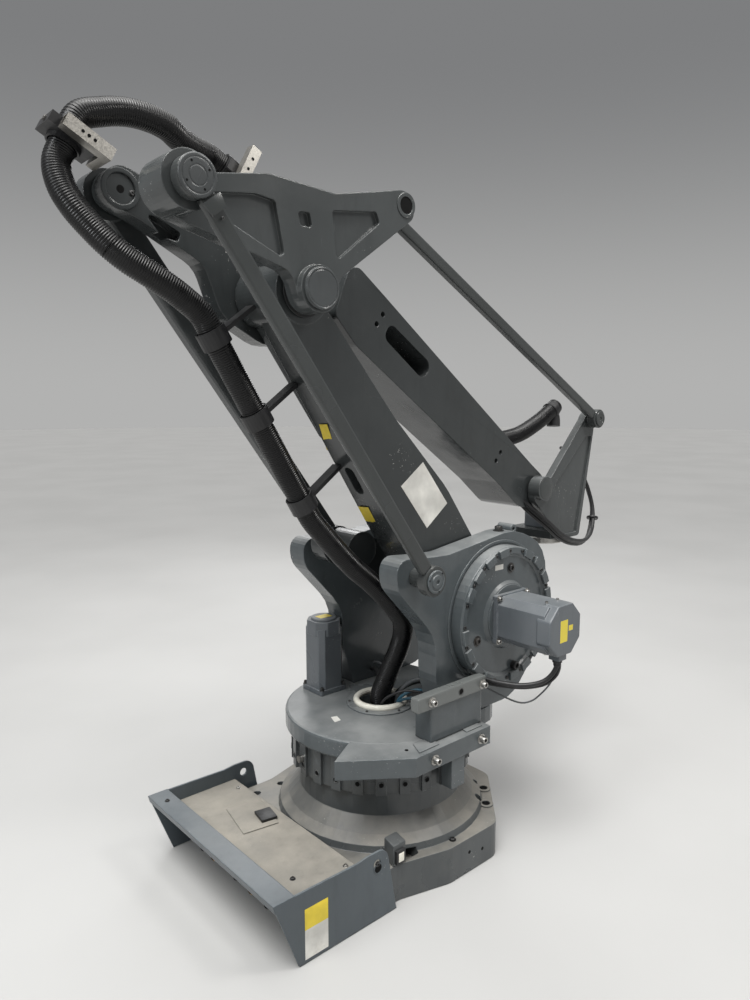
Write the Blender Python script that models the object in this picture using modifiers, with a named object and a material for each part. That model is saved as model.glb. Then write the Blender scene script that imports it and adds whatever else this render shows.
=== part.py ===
"""Palletising robot arm with four axes and parallel links, in metres, +Z up.

The origin lies on the floor on axis 1.  +X points from axis 1 towards the wrist
and the side with the axis 2 motor is -Y.
"""
import bpy
import bmesh
from math import acos, atan2, ceil, cos, pi, radians, sin
from mathutils import Matrix, Vector

# Pose of the linkage as it stands, angles in degrees from vertical and from level
lower_arm_lean = -36.5
upper_arm_dip = 28.3

# Skeleton
axis_2_forward = 0.300
axis_2_height = 0.800
lower_arm_length = 1.280
upper_arm_length = 1.350
crank_length = 0.475
crank_offset = 0.015
link_left_x = -0.405
link_left_z = 0.191
link_right_x = 0.331
link_right_z = 0.269
tool_axis_forward = 0.200
tool_face_drop = 0.250

# Clearances and overruns
seat_gap = 0.0003
running_gap = 0.005
pin_gap = 0.0006
overrun = 0.010
weld_distance = 0.00002

# Lateral planes, near faces first
link_rod_near_y = -0.365
link_rod_far_y = -0.331
elbow_link_near_y = -0.283
elbow_link_far_y = -0.203
upper_rod_near_y = -0.184
upper_rod_far_y = -0.144
wrist_near_y = -0.164
wrist_far_y = -0.108
lower_arm_near_y = -0.190
lower_arm_far_y = -0.050
lower_arm_top_far_y = 0.014
upper_arm_near_y = -0.100
upper_arm_far_y = 0.090
crank_near_y = -0.031
crank_arm_near_y = 0.034
crank_far_y = 0.088
rear_cheek_near_y = 0.021
parallel_rod_near_y = 0.096
parallel_rod_far_y = 0.166
side_frame_inner_y = 0.198
side_frame_outer_y = 0.280
gearbox_outer_y = 0.326

# Base
base_half_width = 0.402
base_rear_half_width = 0.350
base_chamfer = 0.235
base_side_height = 0.120
base_corner_radius = 0.060
base_waist_x = -0.060
base_shoulder_x = -0.240
base_rear_x = -0.400
base_dome_radius = 0.360
base_collar_radius = 0.292
base_collar_foot = 0.330
bearing_radius = 0.190
base_collar_top = 0.285
base_bolt_radius = 0.014
base_bolt_spacing = 0.105
base_bolt_inset = 0.052
base_bolt_seat_radius = 0.028
base_bolt_seat_height = 0.012
base_pocket = [(-0.262, -0.348, 0.016), (-0.205, -0.270, 0.024), (-0.150, -0.270, 0.024),
               (-0.145, -0.350, 0.016)]
base_pocket_depth = 0.030

# Stop ring between the base and the turntable
ring_radius = 0.318
ring_root_radius = 0.306
ring_inner_radius = 0.200
ring_top = 0.400
ring_rib_count = 26
ring_rib_share = 0.45
stop_pin_radius = 0.012
stop_pin_length = 0.014

# Rear cover and connector box
cover_half_width = 0.372
cover_sheet = 0.006
cover_rear_x = -0.715
cover_foot_x = -0.6325
cover_top = 0.219
cover_strip_depth = 0.070
cover_front_x = -0.270
cover_ear_x = -0.348
cover_ear_z = 0.180
cover_ear_radius = 0.038
cover_ear_hole = 0.014
cover_foot_gap = 0.002
box_rear_x = -0.570
box_half_width = 0.338
box_foot = 0.030
box_top = 0.160
tray_thickness = 0.005
tray_front_x = -0.385
connector_radius = 0.016
connector_length = 0.040

# Turret
turntable_radius = 0.337
turntable_foot = 0.405
turntable_top = 0.468
turntable_edge = 0.008
cable_hole_radius = 0.078
cable_ring_radius = 0.086
cable_ring_wire = 0.011
ear_rear_x = -0.205
ear_front_x = 0.140
ear_near_y = -0.388
ear_root_y = -0.240
stop_block_width = 0.060
stop_block_depth = 0.055
stop_block_drop = 0.100
stop_block_x = -0.010
frame_boss_radius = 0.085
frame_head_radius = 0.272
frame_edge = 0.007
link_pin_radius = 0.018
link_collar_radius = 0.031
gearbox_radius = 0.240
gearbox_step_radius = 0.205
gearbox_step = 0.010
gearbox_hub_radius = 0.110
motor_size = 0.168
motor_length = 0.232
motor_edge = 0.004
motor_flange = 0.018
motor_cap = 0.054
motor_body_share = 0.94
motor_corner_share = 0.16
motor_cap_corner_share = 0.27
connector_block = 0.040
axis_1_motor_x = -0.074
axis_1_motor_y = 0.230
axis_1_motor_size = 0.116
axis_1_motor_height = 0.270
stop_bar_near_y = -0.362
stop_bar_rear_x = -0.172
stop_bar_front_x = 0.146
stop_bar_foot = 0.585
stop_post_rear_x = -0.105
stop_bar_height = 0.048

# Lower arm
lower_hub_radius = 0.128
lower_boss_radius = 0.088
lower_waist_height = 0.435
lower_waist_rear = 0.1357
lower_neck_height = 1.216
lower_neck_rear = 0.0864
lower_arm_edge = 0.010
oval_hole_centre = (-0.105, 0.690)
oval_hole_length = 0.104
oval_hole_width = 0.042
oval_hole_depth = 0.045
shaft_radius = 0.048
elbow_shaft_radius = 0.044

# Elbow link
elbow_cap_radius = 0.056
left_lobe_radius = 0.066
right_lobe_radius = 0.041
elbow_lobe_radius = 0.070
link_edge = 0.005
link_pocket_depth = 0.014
link_pockets = [
    [(-0.315, 0.158, 0.010), (-0.313, 0.196, 0.010), (-0.185, 0.214, 0.016),
     (-0.126, 0.207, 0.010), (-0.098, 0.066, 0.012)],
    [(0.056, 0.212, 0.010), (0.216, 0.234, 0.010), (0.229, 0.204, 0.010),
     (0.070, 0.080, 0.012)],
    [(-0.057, 0.192, 0.008), (-0.018, 0.195, 0.008), (-0.010, 0.157, 0.008),
     (-0.050, 0.158, 0.008)]]

# Rods
rod_eye_radius = 0.048
lower_rod_width = 0.046
upper_rod_width = 0.036
rod_eye_step = 0.003
parallel_eye_radius = 0.066
parallel_rod_width = 0.082

# Upper arm
upper_hub_radius = 0.130
rear_boss_radius = 0.064
cheek_top_rear = (-0.392, 0.0886)
cheek_top_front = (-0.117, 0.1625)
cheek_window = [(-0.398, 0.003, 0.010), (-0.360, 0.014, 0.010), (-0.290, 0.019, 0.010),
                (-0.286, -0.007, 0.010), (-0.333, -0.023, 0.010)]
cheek_window_depth = 0.040
side_slot = [(0.384, 0.097, 0.024), (0.386, 0.154, 0.024), (0.612, 0.133, 0.030),
             (0.608, 0.066, 0.030)]
side_slot_depth = 0.110
side_holes = [(0.346, 0.158), (0.338, 0.118), (1.097, 0.034), (1.088, -0.005)]
side_hole_radius = 0.009
side_hole_depth = 0.020
wrist_end_radius = 0.100
upper_arm_edge = 0.012

# Crank
crank_hub_radius = 0.110
crank_end_radius = 0.062
crank_pin_radius = 0.030

# Wrist
wrist_boss_radius = 0.048
wrist_pin_radius = 0.026
top_eye_radius = 0.030
wrist_edge = 0.005
wrist_pocket_depth = 0.007
wrist_rim = 0.016
flange_radius = 0.100
flange_thickness = 0.030
tool_motor_size = 0.100
tool_motor_height = 0.180

# Hose and what holds it
hose_radius = 0.037
hose_resolution = 2
hose_spacing = 0.060
hose_straight = 0.066
band_gap = 0.0009
band_radius = 0.043
band_width = 0.050
clamp_web = 0.012
clamp_depth = 0.040
clamp_bar_length = 0.124
clamp_bar_height = 0.028
tube_section = 0.033
tube_wall = 0.003
tube_lug = 0.022
lug_length = 0.080
rear_tube_near_y = -0.040
rear_tube_height = 0.049
rear_tube_end = 0.664
top_tube_near_y = 0.045
top_foot_length = 0.110
top_foot_height = 0.012
top_tube_shift = -0.187
top_tube_top = 0.389

# Route of the hose: points (across, y, along) from axis 2 on the lower arm, the last ones
# counted from the elbow, and (along, y, height) from the elbow on the upper arm
ring_route = [(0, 0, 0.430), (0, 0, 0.500)]
foot_route = [(-0.275, -0.055, 0.061), (-0.232, -0.080, 0.141), (-0.235, -0.085, 0.246),
              (-0.253, -0.085, 0.355), (-0.278, -0.075, 0.473)]
low_clamp_place = (-0.2902, -0.060, 0.7459)
high_clamp_place = (-0.2372, -0.060, 0.0200)
middle_clamp_share = 0.54
riser_route = [(-0.2676, -0.055, 0.1990), (-0.3161, -0.030, 0.3186)]
rear_route = [(-0.5350, 0.005, -0.1108), (-0.5990, 0.034, -0.0640)]
rear_clamp_place = (-0.628, 0.048, 0.048)
top_route = [(-0.5980, 0.048, 0.1540), (-0.5327, 0.048, 0.2119), (-0.4445, 0.055, 0.2526),
             (-0.3522, 0.100, 0.2773)]
top_clamp_place = (-0.207, 0.130, 0.313)
far_route = [(-0.0592, 0.136, 0.2817), (0.1469, 0.140, 0.2132)]
far_clamp_place = (0.3708, 0.140, 0.1475)
far_clamp_fall = -0.2393
front_route = [(0.5904, 0.140, 0.1067), (0.7952, 0.140, 0.0659)]
front_clamp_place = (0.9816, 0.140, 0.0720)
front_clamp_fall = 0.1470
wrist_route = [(1.1688, 0.140, 0.1104), (1.3214, 0.140, 0.1857), (1.4482, 0.140, 0.2790),
               (1.5425, 0.140, 0.3866), (1.5930, 0.140, 0.4615), (1.6216, 0.140, 0.5098)]

# Colours from the photograph, linear red, green and blue
paint_base = (0.165, 0.195, 0.215)
paint_arm = (0.120, 0.138, 0.150)
paint_motor = (0.175, 0.205, 0.235)
black_plastic = (0.012, 0.012, 0.013)
white_plastic = (0.70, 0.68, 0.62)
bare_steel = (0.42, 0.41, 0.39)
bare_aluminium = (0.60, 0.60, 0.58)
dusty_sheet = (0.30, 0.30, 0.28)

circle_steps = 40
arc_step = radians(18)

part_collection = None
cutter_collection = None
materials = {}


def clear_scene():
    """Remove every object and make the two collections."""
    global part_collection, cutter_collection
    for item in list(bpy.data.objects):
        bpy.data.objects.remove(item, do_unlink=True)
    part_collection = bpy.data.collections.new("industrial_robot_arm")
    cutter_collection = bpy.data.collections.new("cutters")
    bpy.context.scene.collection.children.link(part_collection)
    bpy.context.scene.collection.children.link(cutter_collection)


def material(name, colour, roughness, metallic):
    """Return one Principled material, made on first use."""
    if name not in materials:
        made = bpy.data.materials.new(name)
        made.use_nodes = True
        shader = made.node_tree.nodes["Principled BSDF"]
        shader.inputs["Base Color"].default_value = (*colour, 1)
        shader.inputs["Roughness"].default_value = roughness
        shader.inputs["Metallic"].default_value = metallic
        materials[name] = made
    return materials[name]


def link_object(item, collection):
    """Move an object into one collection only."""
    for owner in list(item.users_collection):
        owner.objects.unlink(item)
    collection.objects.link(item)


def add_piece(name, mesh, parent, location=(0, 0, 0), rotation=(0, 0, 0)):
    """Make an object of the part from a mesh, under its parent."""
    item = bpy.data.objects.new(name, mesh)
    part_collection.objects.link(item)
    item.parent = parent
    item.location = location
    item.rotation_euler = rotation
    return item


def empty(name, parent, location, turn_y=0.0):
    """Make the pivot of a joint, turned about Y."""
    item = bpy.data.objects.new(name, None)
    part_collection.objects.link(item)
    item.empty_display_size = shaft_radius
    item.parent = parent
    item.location = location
    item.rotation_euler = (0, turn_y, 0)
    return item


def paint(item, slot_material, smooth=True):
    """Give an object its material and smooth its round faces."""
    item.data.materials.clear()
    item.data.materials.append(slot_material)
    if smooth:
        item.data.shade_smooth()
        item.data.set_sharp_from_angle(angle=radians(35))
    return item


def hide_tool(item):
    """Turn an object into a hidden operand of a Boolean."""
    link_object(item, cutter_collection)
    item.hide_render = True
    item.display_type = "WIRE"


def boolean(target, tool, operation):
    """Add a Boolean modifier and hide the operand."""
    hide_tool(tool)
    modifier = target.modifiers.new(tool.name, "BOOLEAN")
    modifier.operation = operation
    modifier.solver = "EXACT"
    modifier.object = tool
    return target


def cut(target, tool):
    return boolean(target, tool, "DIFFERENCE")


def join(target, tool):
    return boolean(target, tool, "UNION")


def bevel(item, width, segments=2, angle=radians(40)):
    """Round the sharp edges of a piece."""
    modifier = item.modifiers.new("edges", "BEVEL")
    modifier.width = width
    modifier.segments = segments
    modifier.limit_method = "ANGLE"
    modifier.angle_limit = angle
    return item


def cylinder(name, radius, start, end, parent, centre=(0, 0), along="Y", steps=circle_steps,
             top_radius=None):
    """Cylinder from start to end along one axis, centred in the other two."""
    mesh = bpy.data.meshes.new(name)
    shape = bmesh.new()
    second = radius if top_radius is None else top_radius
    bmesh.ops.create_cone(shape, cap_ends=True, segments=steps, radius1=radius,
                          radius2=second, depth=end - start)
    shape.to_mesh(mesh)
    shape.free()
    middle = (start + end) / 2
    if along == "Y":
        return add_piece(name, mesh, parent, (centre[0], middle, centre[1]), (-pi / 2, 0, 0))
    if along == "X":
        return add_piece(name, mesh, parent, (middle, centre[0], centre[1]), (0, pi / 2, 0))
    return add_piece(name, mesh, parent, (centre[0], centre[1], middle))


def box(name, low, high, parent):
    """Box between two corners."""
    mesh = bpy.data.meshes.new(name)
    shape = bmesh.new()
    bmesh.ops.create_cube(shape, size=1)
    size = [high[axis] - low[axis] for axis in range(3)]
    bmesh.ops.scale(shape, vec=size, verts=shape.verts)
    shape.to_mesh(mesh)
    shape.free()
    centre = [(high[axis] + low[axis]) / 2 for axis in range(3)]
    return add_piece(name, mesh, parent, centre)


def filleted(corners):
    """Outline points from corners (x, z, radius), each corner rounded by an arc."""
    points = []
    count = len(corners)
    for index, (x, z, radius) in enumerate(corners):
        here = Vector((x, z))
        before = Vector(corners[index - 1][:2]) - here
        after = Vector(corners[(index + 1) % count][:2]) - here
        if radius == 0:
            points.append((x, z))
            continue
        first = before.normalized()
        second = after.normalized()
        half = acos(max(-1, min(1, first.dot(second)))) / 2
        reach = min(radius / abs(sin(half) / cos(half)), before.length / 2, after.length / 2)
        true_radius = reach * sin(half) / cos(half)
        centre = here + (first + second).normalized() * (true_radius / sin(half))
        start = here + first * reach - centre
        end = here + second * reach - centre
        start_angle = atan2(start.y, start.x)
        sweep = (atan2(end.y, end.x) - start_angle + pi) % (2 * pi) - pi
        steps = max(1, ceil(abs(sweep) / arc_step))
        for step in range(steps + 1):
            angle = start_angle + sweep * step / steps
            points.append((centre.x + true_radius * cos(angle), centre.y + true_radius * sin(angle)))
    return points


def circle_points(centre, radius, steps=circle_steps):
    return [(centre[0] + radius * cos(2 * pi * step / steps),
             centre[1] + radius * sin(2 * pi * step / steps)) for step in range(steps)]


def mesh_of_curve(curve_object):
    """Welded mesh of a curve object, which is removed."""
    graph = bpy.context.evaluated_depsgraph_get()
    mesh = bpy.data.meshes.new_from_object(curve_object.evaluated_get(graph))
    shape = bmesh.new()
    shape.from_mesh(mesh)
    bmesh.ops.remove_doubles(shape, verts=shape.verts, dist=weld_distance)
    shape.to_mesh(mesh)
    shape.free()
    bpy.data.objects.remove(curve_object, do_unlink=True)
    return mesh


def slab(name, outlines, thickness, parent, location=(0, 0, 0), rotation=(0, 0, 0)):
    """Flat outline with holes, thickened both ways from its plane."""
    curve = bpy.data.curves.new(name, "CURVE")
    curve.dimensions = "2D"
    curve.fill_mode = "BOTH"
    curve.extrude = thickness / 2
    for outline in outlines:
        spline = curve.splines.new("POLY")
        spline.points.add(len(outline) - 1)
        for point, place in zip(spline.points, outline):
            point.co = (place[0], place[1], 0, 1)
        spline.use_cyclic_u = True
    source = bpy.data.objects.new(name, curve)
    part_collection.objects.link(source)
    bpy.context.view_layer.update()
    return add_piece(name, mesh_of_curve(source), parent, location, rotation)


def plate(name, outlines, near_y, far_y, parent):
    """Plate in the XZ plane between two lateral planes."""
    middle = (near_y + far_y) / 2
    return slab(name, outlines, far_y - near_y, parent, (0, middle, 0), (pi / 2, 0, 0))


def pocket(target, name, corners, near_y, depth, parent):
    """Cut a flat hollow with rounded corners into the near face of a plate."""
    return cut(target, plate(name, [filleted(corners)], near_y - overrun, near_y + depth, parent))


def turned(name, profile, parent, location=(0, 0, 0), rotation=(0, 0, 0), steps=circle_steps):
    """Profile of (radius, height) points, top to bottom, turned about Z."""
    mesh = bpy.data.meshes.new(name)
    points = [(radius, 0, height) for radius, height in profile]
    edges = [(index, index + 1) for index in range(len(points) - 1)]
    mesh.from_pydata(points, edges, [])
    item = add_piece(name, mesh, parent, location, rotation)
    screw = item.modifiers.new("turn", "SCREW")
    screw.axis = "Z"
    screw.steps = steps
    screw.render_steps = steps
    screw.use_merge_vertices = True
    screw.merge_threshold = weld_distance
    screw.use_smooth_shade = True
    return item


def tube(name, points, radius, parent, cyclic=False):
    """Round tube along world points."""
    curve = bpy.data.curves.new(name, "CURVE")
    curve.dimensions = "3D"
    curve.bevel_depth = radius
    curve.bevel_resolution = hose_resolution
    curve.use_fill_caps = True
    spline = curve.splines.new("POLY")
    spline.points.add(len(points) - 1)
    for point, place in zip(spline.points, points):
        point.co = (*place, 1)
    spline.use_cyclic_u = cyclic
    source = bpy.data.objects.new(name, curve)
    part_collection.objects.link(source)
    bpy.context.view_layer.update()
    return add_piece(name, mesh_of_curve(source), parent)


def smooth_route(stations, spacing, before, after):
    """Points read at even steps from a smooth curve through the stations."""
    places = [Vector(station) for station in stations]
    padded = [before or 2 * places[0] - places[1]] + places
    padded.append(after or 2 * places[-1] - places[-2])
    fine = []
    for index in range(1, len(padded) - 2):
        before, start, end, after = padded[index - 1:index + 3]
        steps = max(2, ceil(4 * (end - start).length / spacing))
        for step in range(steps):
            share = step / steps
            fine.append(0.5 * (2 * start + (end - before) * share
                               + (2 * before - 5 * start + 4 * end - after) * share ** 2
                               + (3 * start - before - 3 * end + after) * share ** 3))
    fine.append(places[-1])
    total = sum((b - a).length for a, b in zip(fine, fine[1:]))
    count = max(2, round(total / spacing))
    route = [fine[0]]
    wanted = total / count
    run = 0
    for a, b in zip(fine, fine[1:]):
        length = (b - a).length
        while run + length >= wanted - weld_distance and len(route) < count:
            share = (wanted - run) / length
            a = a + (b - a) * share
            route.append(a)
            length = (b - a).length
            run = 0
        run += length
    route.append(fine[-1])
    return route


def in_parent(parent, points):
    """World points in the frame of a parent."""
    inverse = world_matrix(parent).inverted()
    return [inverse @ Vector(point) for point in points]


def world_matrix(item):
    """World matrix worked out from the chain of parents."""
    matrix = Matrix.LocRotScale(item.location, item.rotation_euler.to_quaternion(), None)
    return matrix if item.parent is None else world_matrix(item.parent) @ matrix


def in_world(parent, points):
    """Points of a parent's frame in the world."""
    matrix = world_matrix(parent)
    return [matrix @ Vector(point) for point in points]


def aim(item, centre, direction):
    """Put a piece at a place of its parent with its Z along a direction."""
    item.location = centre
    item.rotation_euler = Vector(direction).to_track_quat("Z", "Y").to_euler()


def hose_clamp(name, clamp, block, black):
    """Ring round the hose at a clamp, joined with the block that holds it."""
    parent, centre, direction = clamp
    ring = cylinder(name, band_radius, -band_width / 2, band_width / 2, parent, (0, 0), "Z", 24)
    aim(ring, centre, direction)
    join(ring, block)
    bore = cylinder("clamp_bore", hose_radius + band_gap, -band_width, band_width, parent,
                    (0, 0), "Z", 24)
    aim(bore, centre, direction)
    cut(ring, bore)
    paint(ring, black)
    return ring


def lower_rear_face(height):
    """Place of the lower arm's rear face, across the arm, at a height along it."""
    share = (height - lower_waist_height) / (lower_neck_height - lower_waist_height)
    flat = lower_waist_rear + (lower_neck_rear - lower_waist_rear) * share
    above = height - lower_arm_length
    round_face = max(0, lower_boss_radius ** 2 - above ** 2) ** 0.5
    return -max(flat, round_face)


def past_clamp(clamp, side):
    """World points straight through a clamp, on the side that the hose leaves it."""
    parent, centre, direction = clamp
    middle = Vector(centre)
    step = Vector(direction).normalized() * hose_straight
    return in_world(parent, [middle, middle + step * side])


def between_clamps(first, middle, last):
    """Smooth points of a hose from clamp to clamp, straight where it passes each one."""
    stations = list(middle)
    before = after = None
    if first:
        before, leaving = past_clamp(first, 1)
        stations.insert(0, leaving)
    if last:
        after, reaching = past_clamp(last, -1)
        stations.append(reaching)
    route = smooth_route(stations, hose_spacing, before, after)
    return [point for point in [before] + route + [after] if point]


def shortened(points, start, end):
    """The points with the first and last drawn back along the hose."""
    points = [Vector(point) for point in points]
    points[0] = points[0] + (points[1] - points[0]).normalized() * start
    points[-1] = points[-1] + (points[-2] - points[-1]).normalized() * end
    return points


def build_hoses(turret, lower, upper, black, aluminium):
    """Corrugated hose from the turntable to the wrist, with its clamps and brackets."""
    elbow = Vector((0, 0, lower_arm_length))
    low = Vector(low_clamp_place)
    high = Vector(high_clamp_place) + elbow
    middle = low + (high - low) * middle_clamp_share
    low_clamp = (lower, low, high - low)
    middle_clamp = (lower, middle, high - low)
    high_clamp = (lower, high, high - low)
    rear_clamp = (upper, rear_clamp_place, (0, 0, 1))
    top_clamp = (upper, top_clamp_place, (1, 0, 0))
    far_clamp = (upper, far_clamp_place, (1, 0, far_clamp_fall))
    front_clamp = (upper, front_clamp_place, (1, 0, front_clamp_fall))

    route = [Vector(point) for point in ring_route] + in_world(lower, foot_route)
    route = shortened(between_clamps(None, route, low_clamp), 0, seat_gap)
    paint(tube("hose_base_loop", in_parent(turret, route), hose_radius, turret), black)
    route = shortened([low, high], seat_gap, seat_gap)
    paint(tube("hose_lower_arm", route, hose_radius, lower), black)
    route = in_world(lower, [Vector(point) + elbow for point in riser_route])
    route += in_world(upper, rear_route)
    route = shortened(between_clamps(high_clamp, route, rear_clamp), seat_gap, seat_gap)
    paint(tube("hose_rear_riser", in_parent(lower, route), hose_radius, lower), black)
    route = between_clamps(rear_clamp, in_world(upper, top_route), top_clamp)
    route += between_clamps(top_clamp, in_world(upper, far_route), far_clamp)[1:]
    route += between_clamps(far_clamp, in_world(upper, front_route), front_clamp)[1:]
    route += between_clamps(front_clamp, in_world(upper, wrist_route), None)[1:]
    route = shortened(route, seat_gap, 0)
    paint(tube("hose_upper_arm", in_parent(upper, route), hose_radius, upper), black)

    half = clamp_depth / 2
    for name, clamp in (("hose_clamp_low", low_clamp), ("hose_clamp_middle", middle_clamp),
                        ("hose_clamp_high", high_clamp)):
        place = clamp[1]
        web = box("clamp_web", (place.x + hose_radius, place.y - half, place.z - clamp_web / 2),
                  (lower_rear_face(place.z - clamp_web / 2) - seat_gap, place.y + half,
                   place.z + clamp_web / 2), lower)
        hose_clamp(name, clamp, web, black)

    for name, clamp in (("hose_clamp_far", far_clamp), ("hose_clamp_front", front_clamp)):
        place = Vector(clamp[1])
        block = box("clamp_block", (place.x - half / 2, upper_arm_far_y + seat_gap,
                                    place.z - half),
                    (place.x + half / 2, place.y - hose_radius, place.z + half), upper)
        hose_clamp(name, clamp, block, black)
    build_rear_bracket(upper, rear_clamp, aluminium, black)
    build_top_bracket(upper, top_clamp, aluminium, black)


def build_rear_bracket(upper, rear_clamp, aluminium, black):
    """Square tube behind the upper arm's rear boss, with the hose clamp at its end."""
    size = tube_section
    tube_far_y = rear_tube_near_y + size
    rear_x = -crank_length - (rear_boss_radius ** 2 - (rear_tube_height - size / 2
                                                       - crank_offset) ** 2) ** 0.5
    bracket = box("hose_bracket_rear", (-rear_tube_end, rear_tube_near_y,
                                        rear_tube_height - size / 2),
                  (rear_x - seat_gap, tube_far_y, rear_tube_height + size / 2), upper)
    hollow = box("tube_hollow", (-rear_tube_end - overrun, rear_tube_near_y + tube_wall,
                                 rear_tube_height - size / 2 + tube_wall),
                 (rear_x - tube_lug - overrun, tube_far_y - tube_wall,
                  rear_tube_height + size / 2 - tube_wall), upper)
    cut(bracket, hollow)
    lug = box("tube_lug", (rear_x - seat_gap - tube_lug, tube_far_y - overrun,
                           rear_tube_height - size / 2),
              (rear_x - seat_gap, tube_far_y + lug_length, rear_tube_height + size / 2), upper)
    join(bracket, lug)
    paint(bracket, aluminium, smooth=False)
    place = Vector(rear_clamp[1])
    half = clamp_bar_length / 2
    bar = box("clamp_bar", (place.x - half, tube_far_y + seat_gap,
                            place.z - clamp_bar_height / 2),
              (place.x + half, place.y + hose_radius, place.z + clamp_bar_height / 2), upper)
    hose_clamp("hose_clamp_rear", rear_clamp, bar, black)


def build_top_bracket(upper, top_clamp, aluminium, black):
    """Square tube on top of the upper arm's rear cheek, with a hose clamp beside it."""
    size = tube_section
    place = Vector(top_clamp[1])
    near_y = top_tube_near_y
    foot_x = top_tube_shift - top_foot_length / 2
    slope = (cheek_top_front[1] - cheek_top_rear[1]) / (cheek_top_front[0] - cheek_top_rear[0])
    low = cheek_top_rear[1] + slope * (foot_x - cheek_top_rear[0]) + seat_gap * 2
    high = low + slope * top_foot_length
    foot = [(foot_x, low), (foot_x + top_foot_length, high),
            (foot_x + top_foot_length, high + top_foot_height), (foot_x, low + top_foot_height)]
    bracket = plate("hose_bracket_top", [foot], near_y, near_y + size, upper)
    middle = top_tube_shift
    post = box("top_post", (middle - size / 2, near_y, low + slope * top_foot_length / 2
                            + top_foot_height / 2),
               (middle + size / 2, near_y + size, top_tube_top), upper)
    join(bracket, post)
    paint(bracket, aluminium, smooth=False)
    block = box("clamp_block", (place.x - band_width / 2, near_y + size + seat_gap,
                                place.z - size / 2),
                (place.x + band_width / 2, place.y - hose_radius, place.z + size / 2), upper)
    hose_clamp("hose_clamp_top", top_clamp, block, black)


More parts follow.
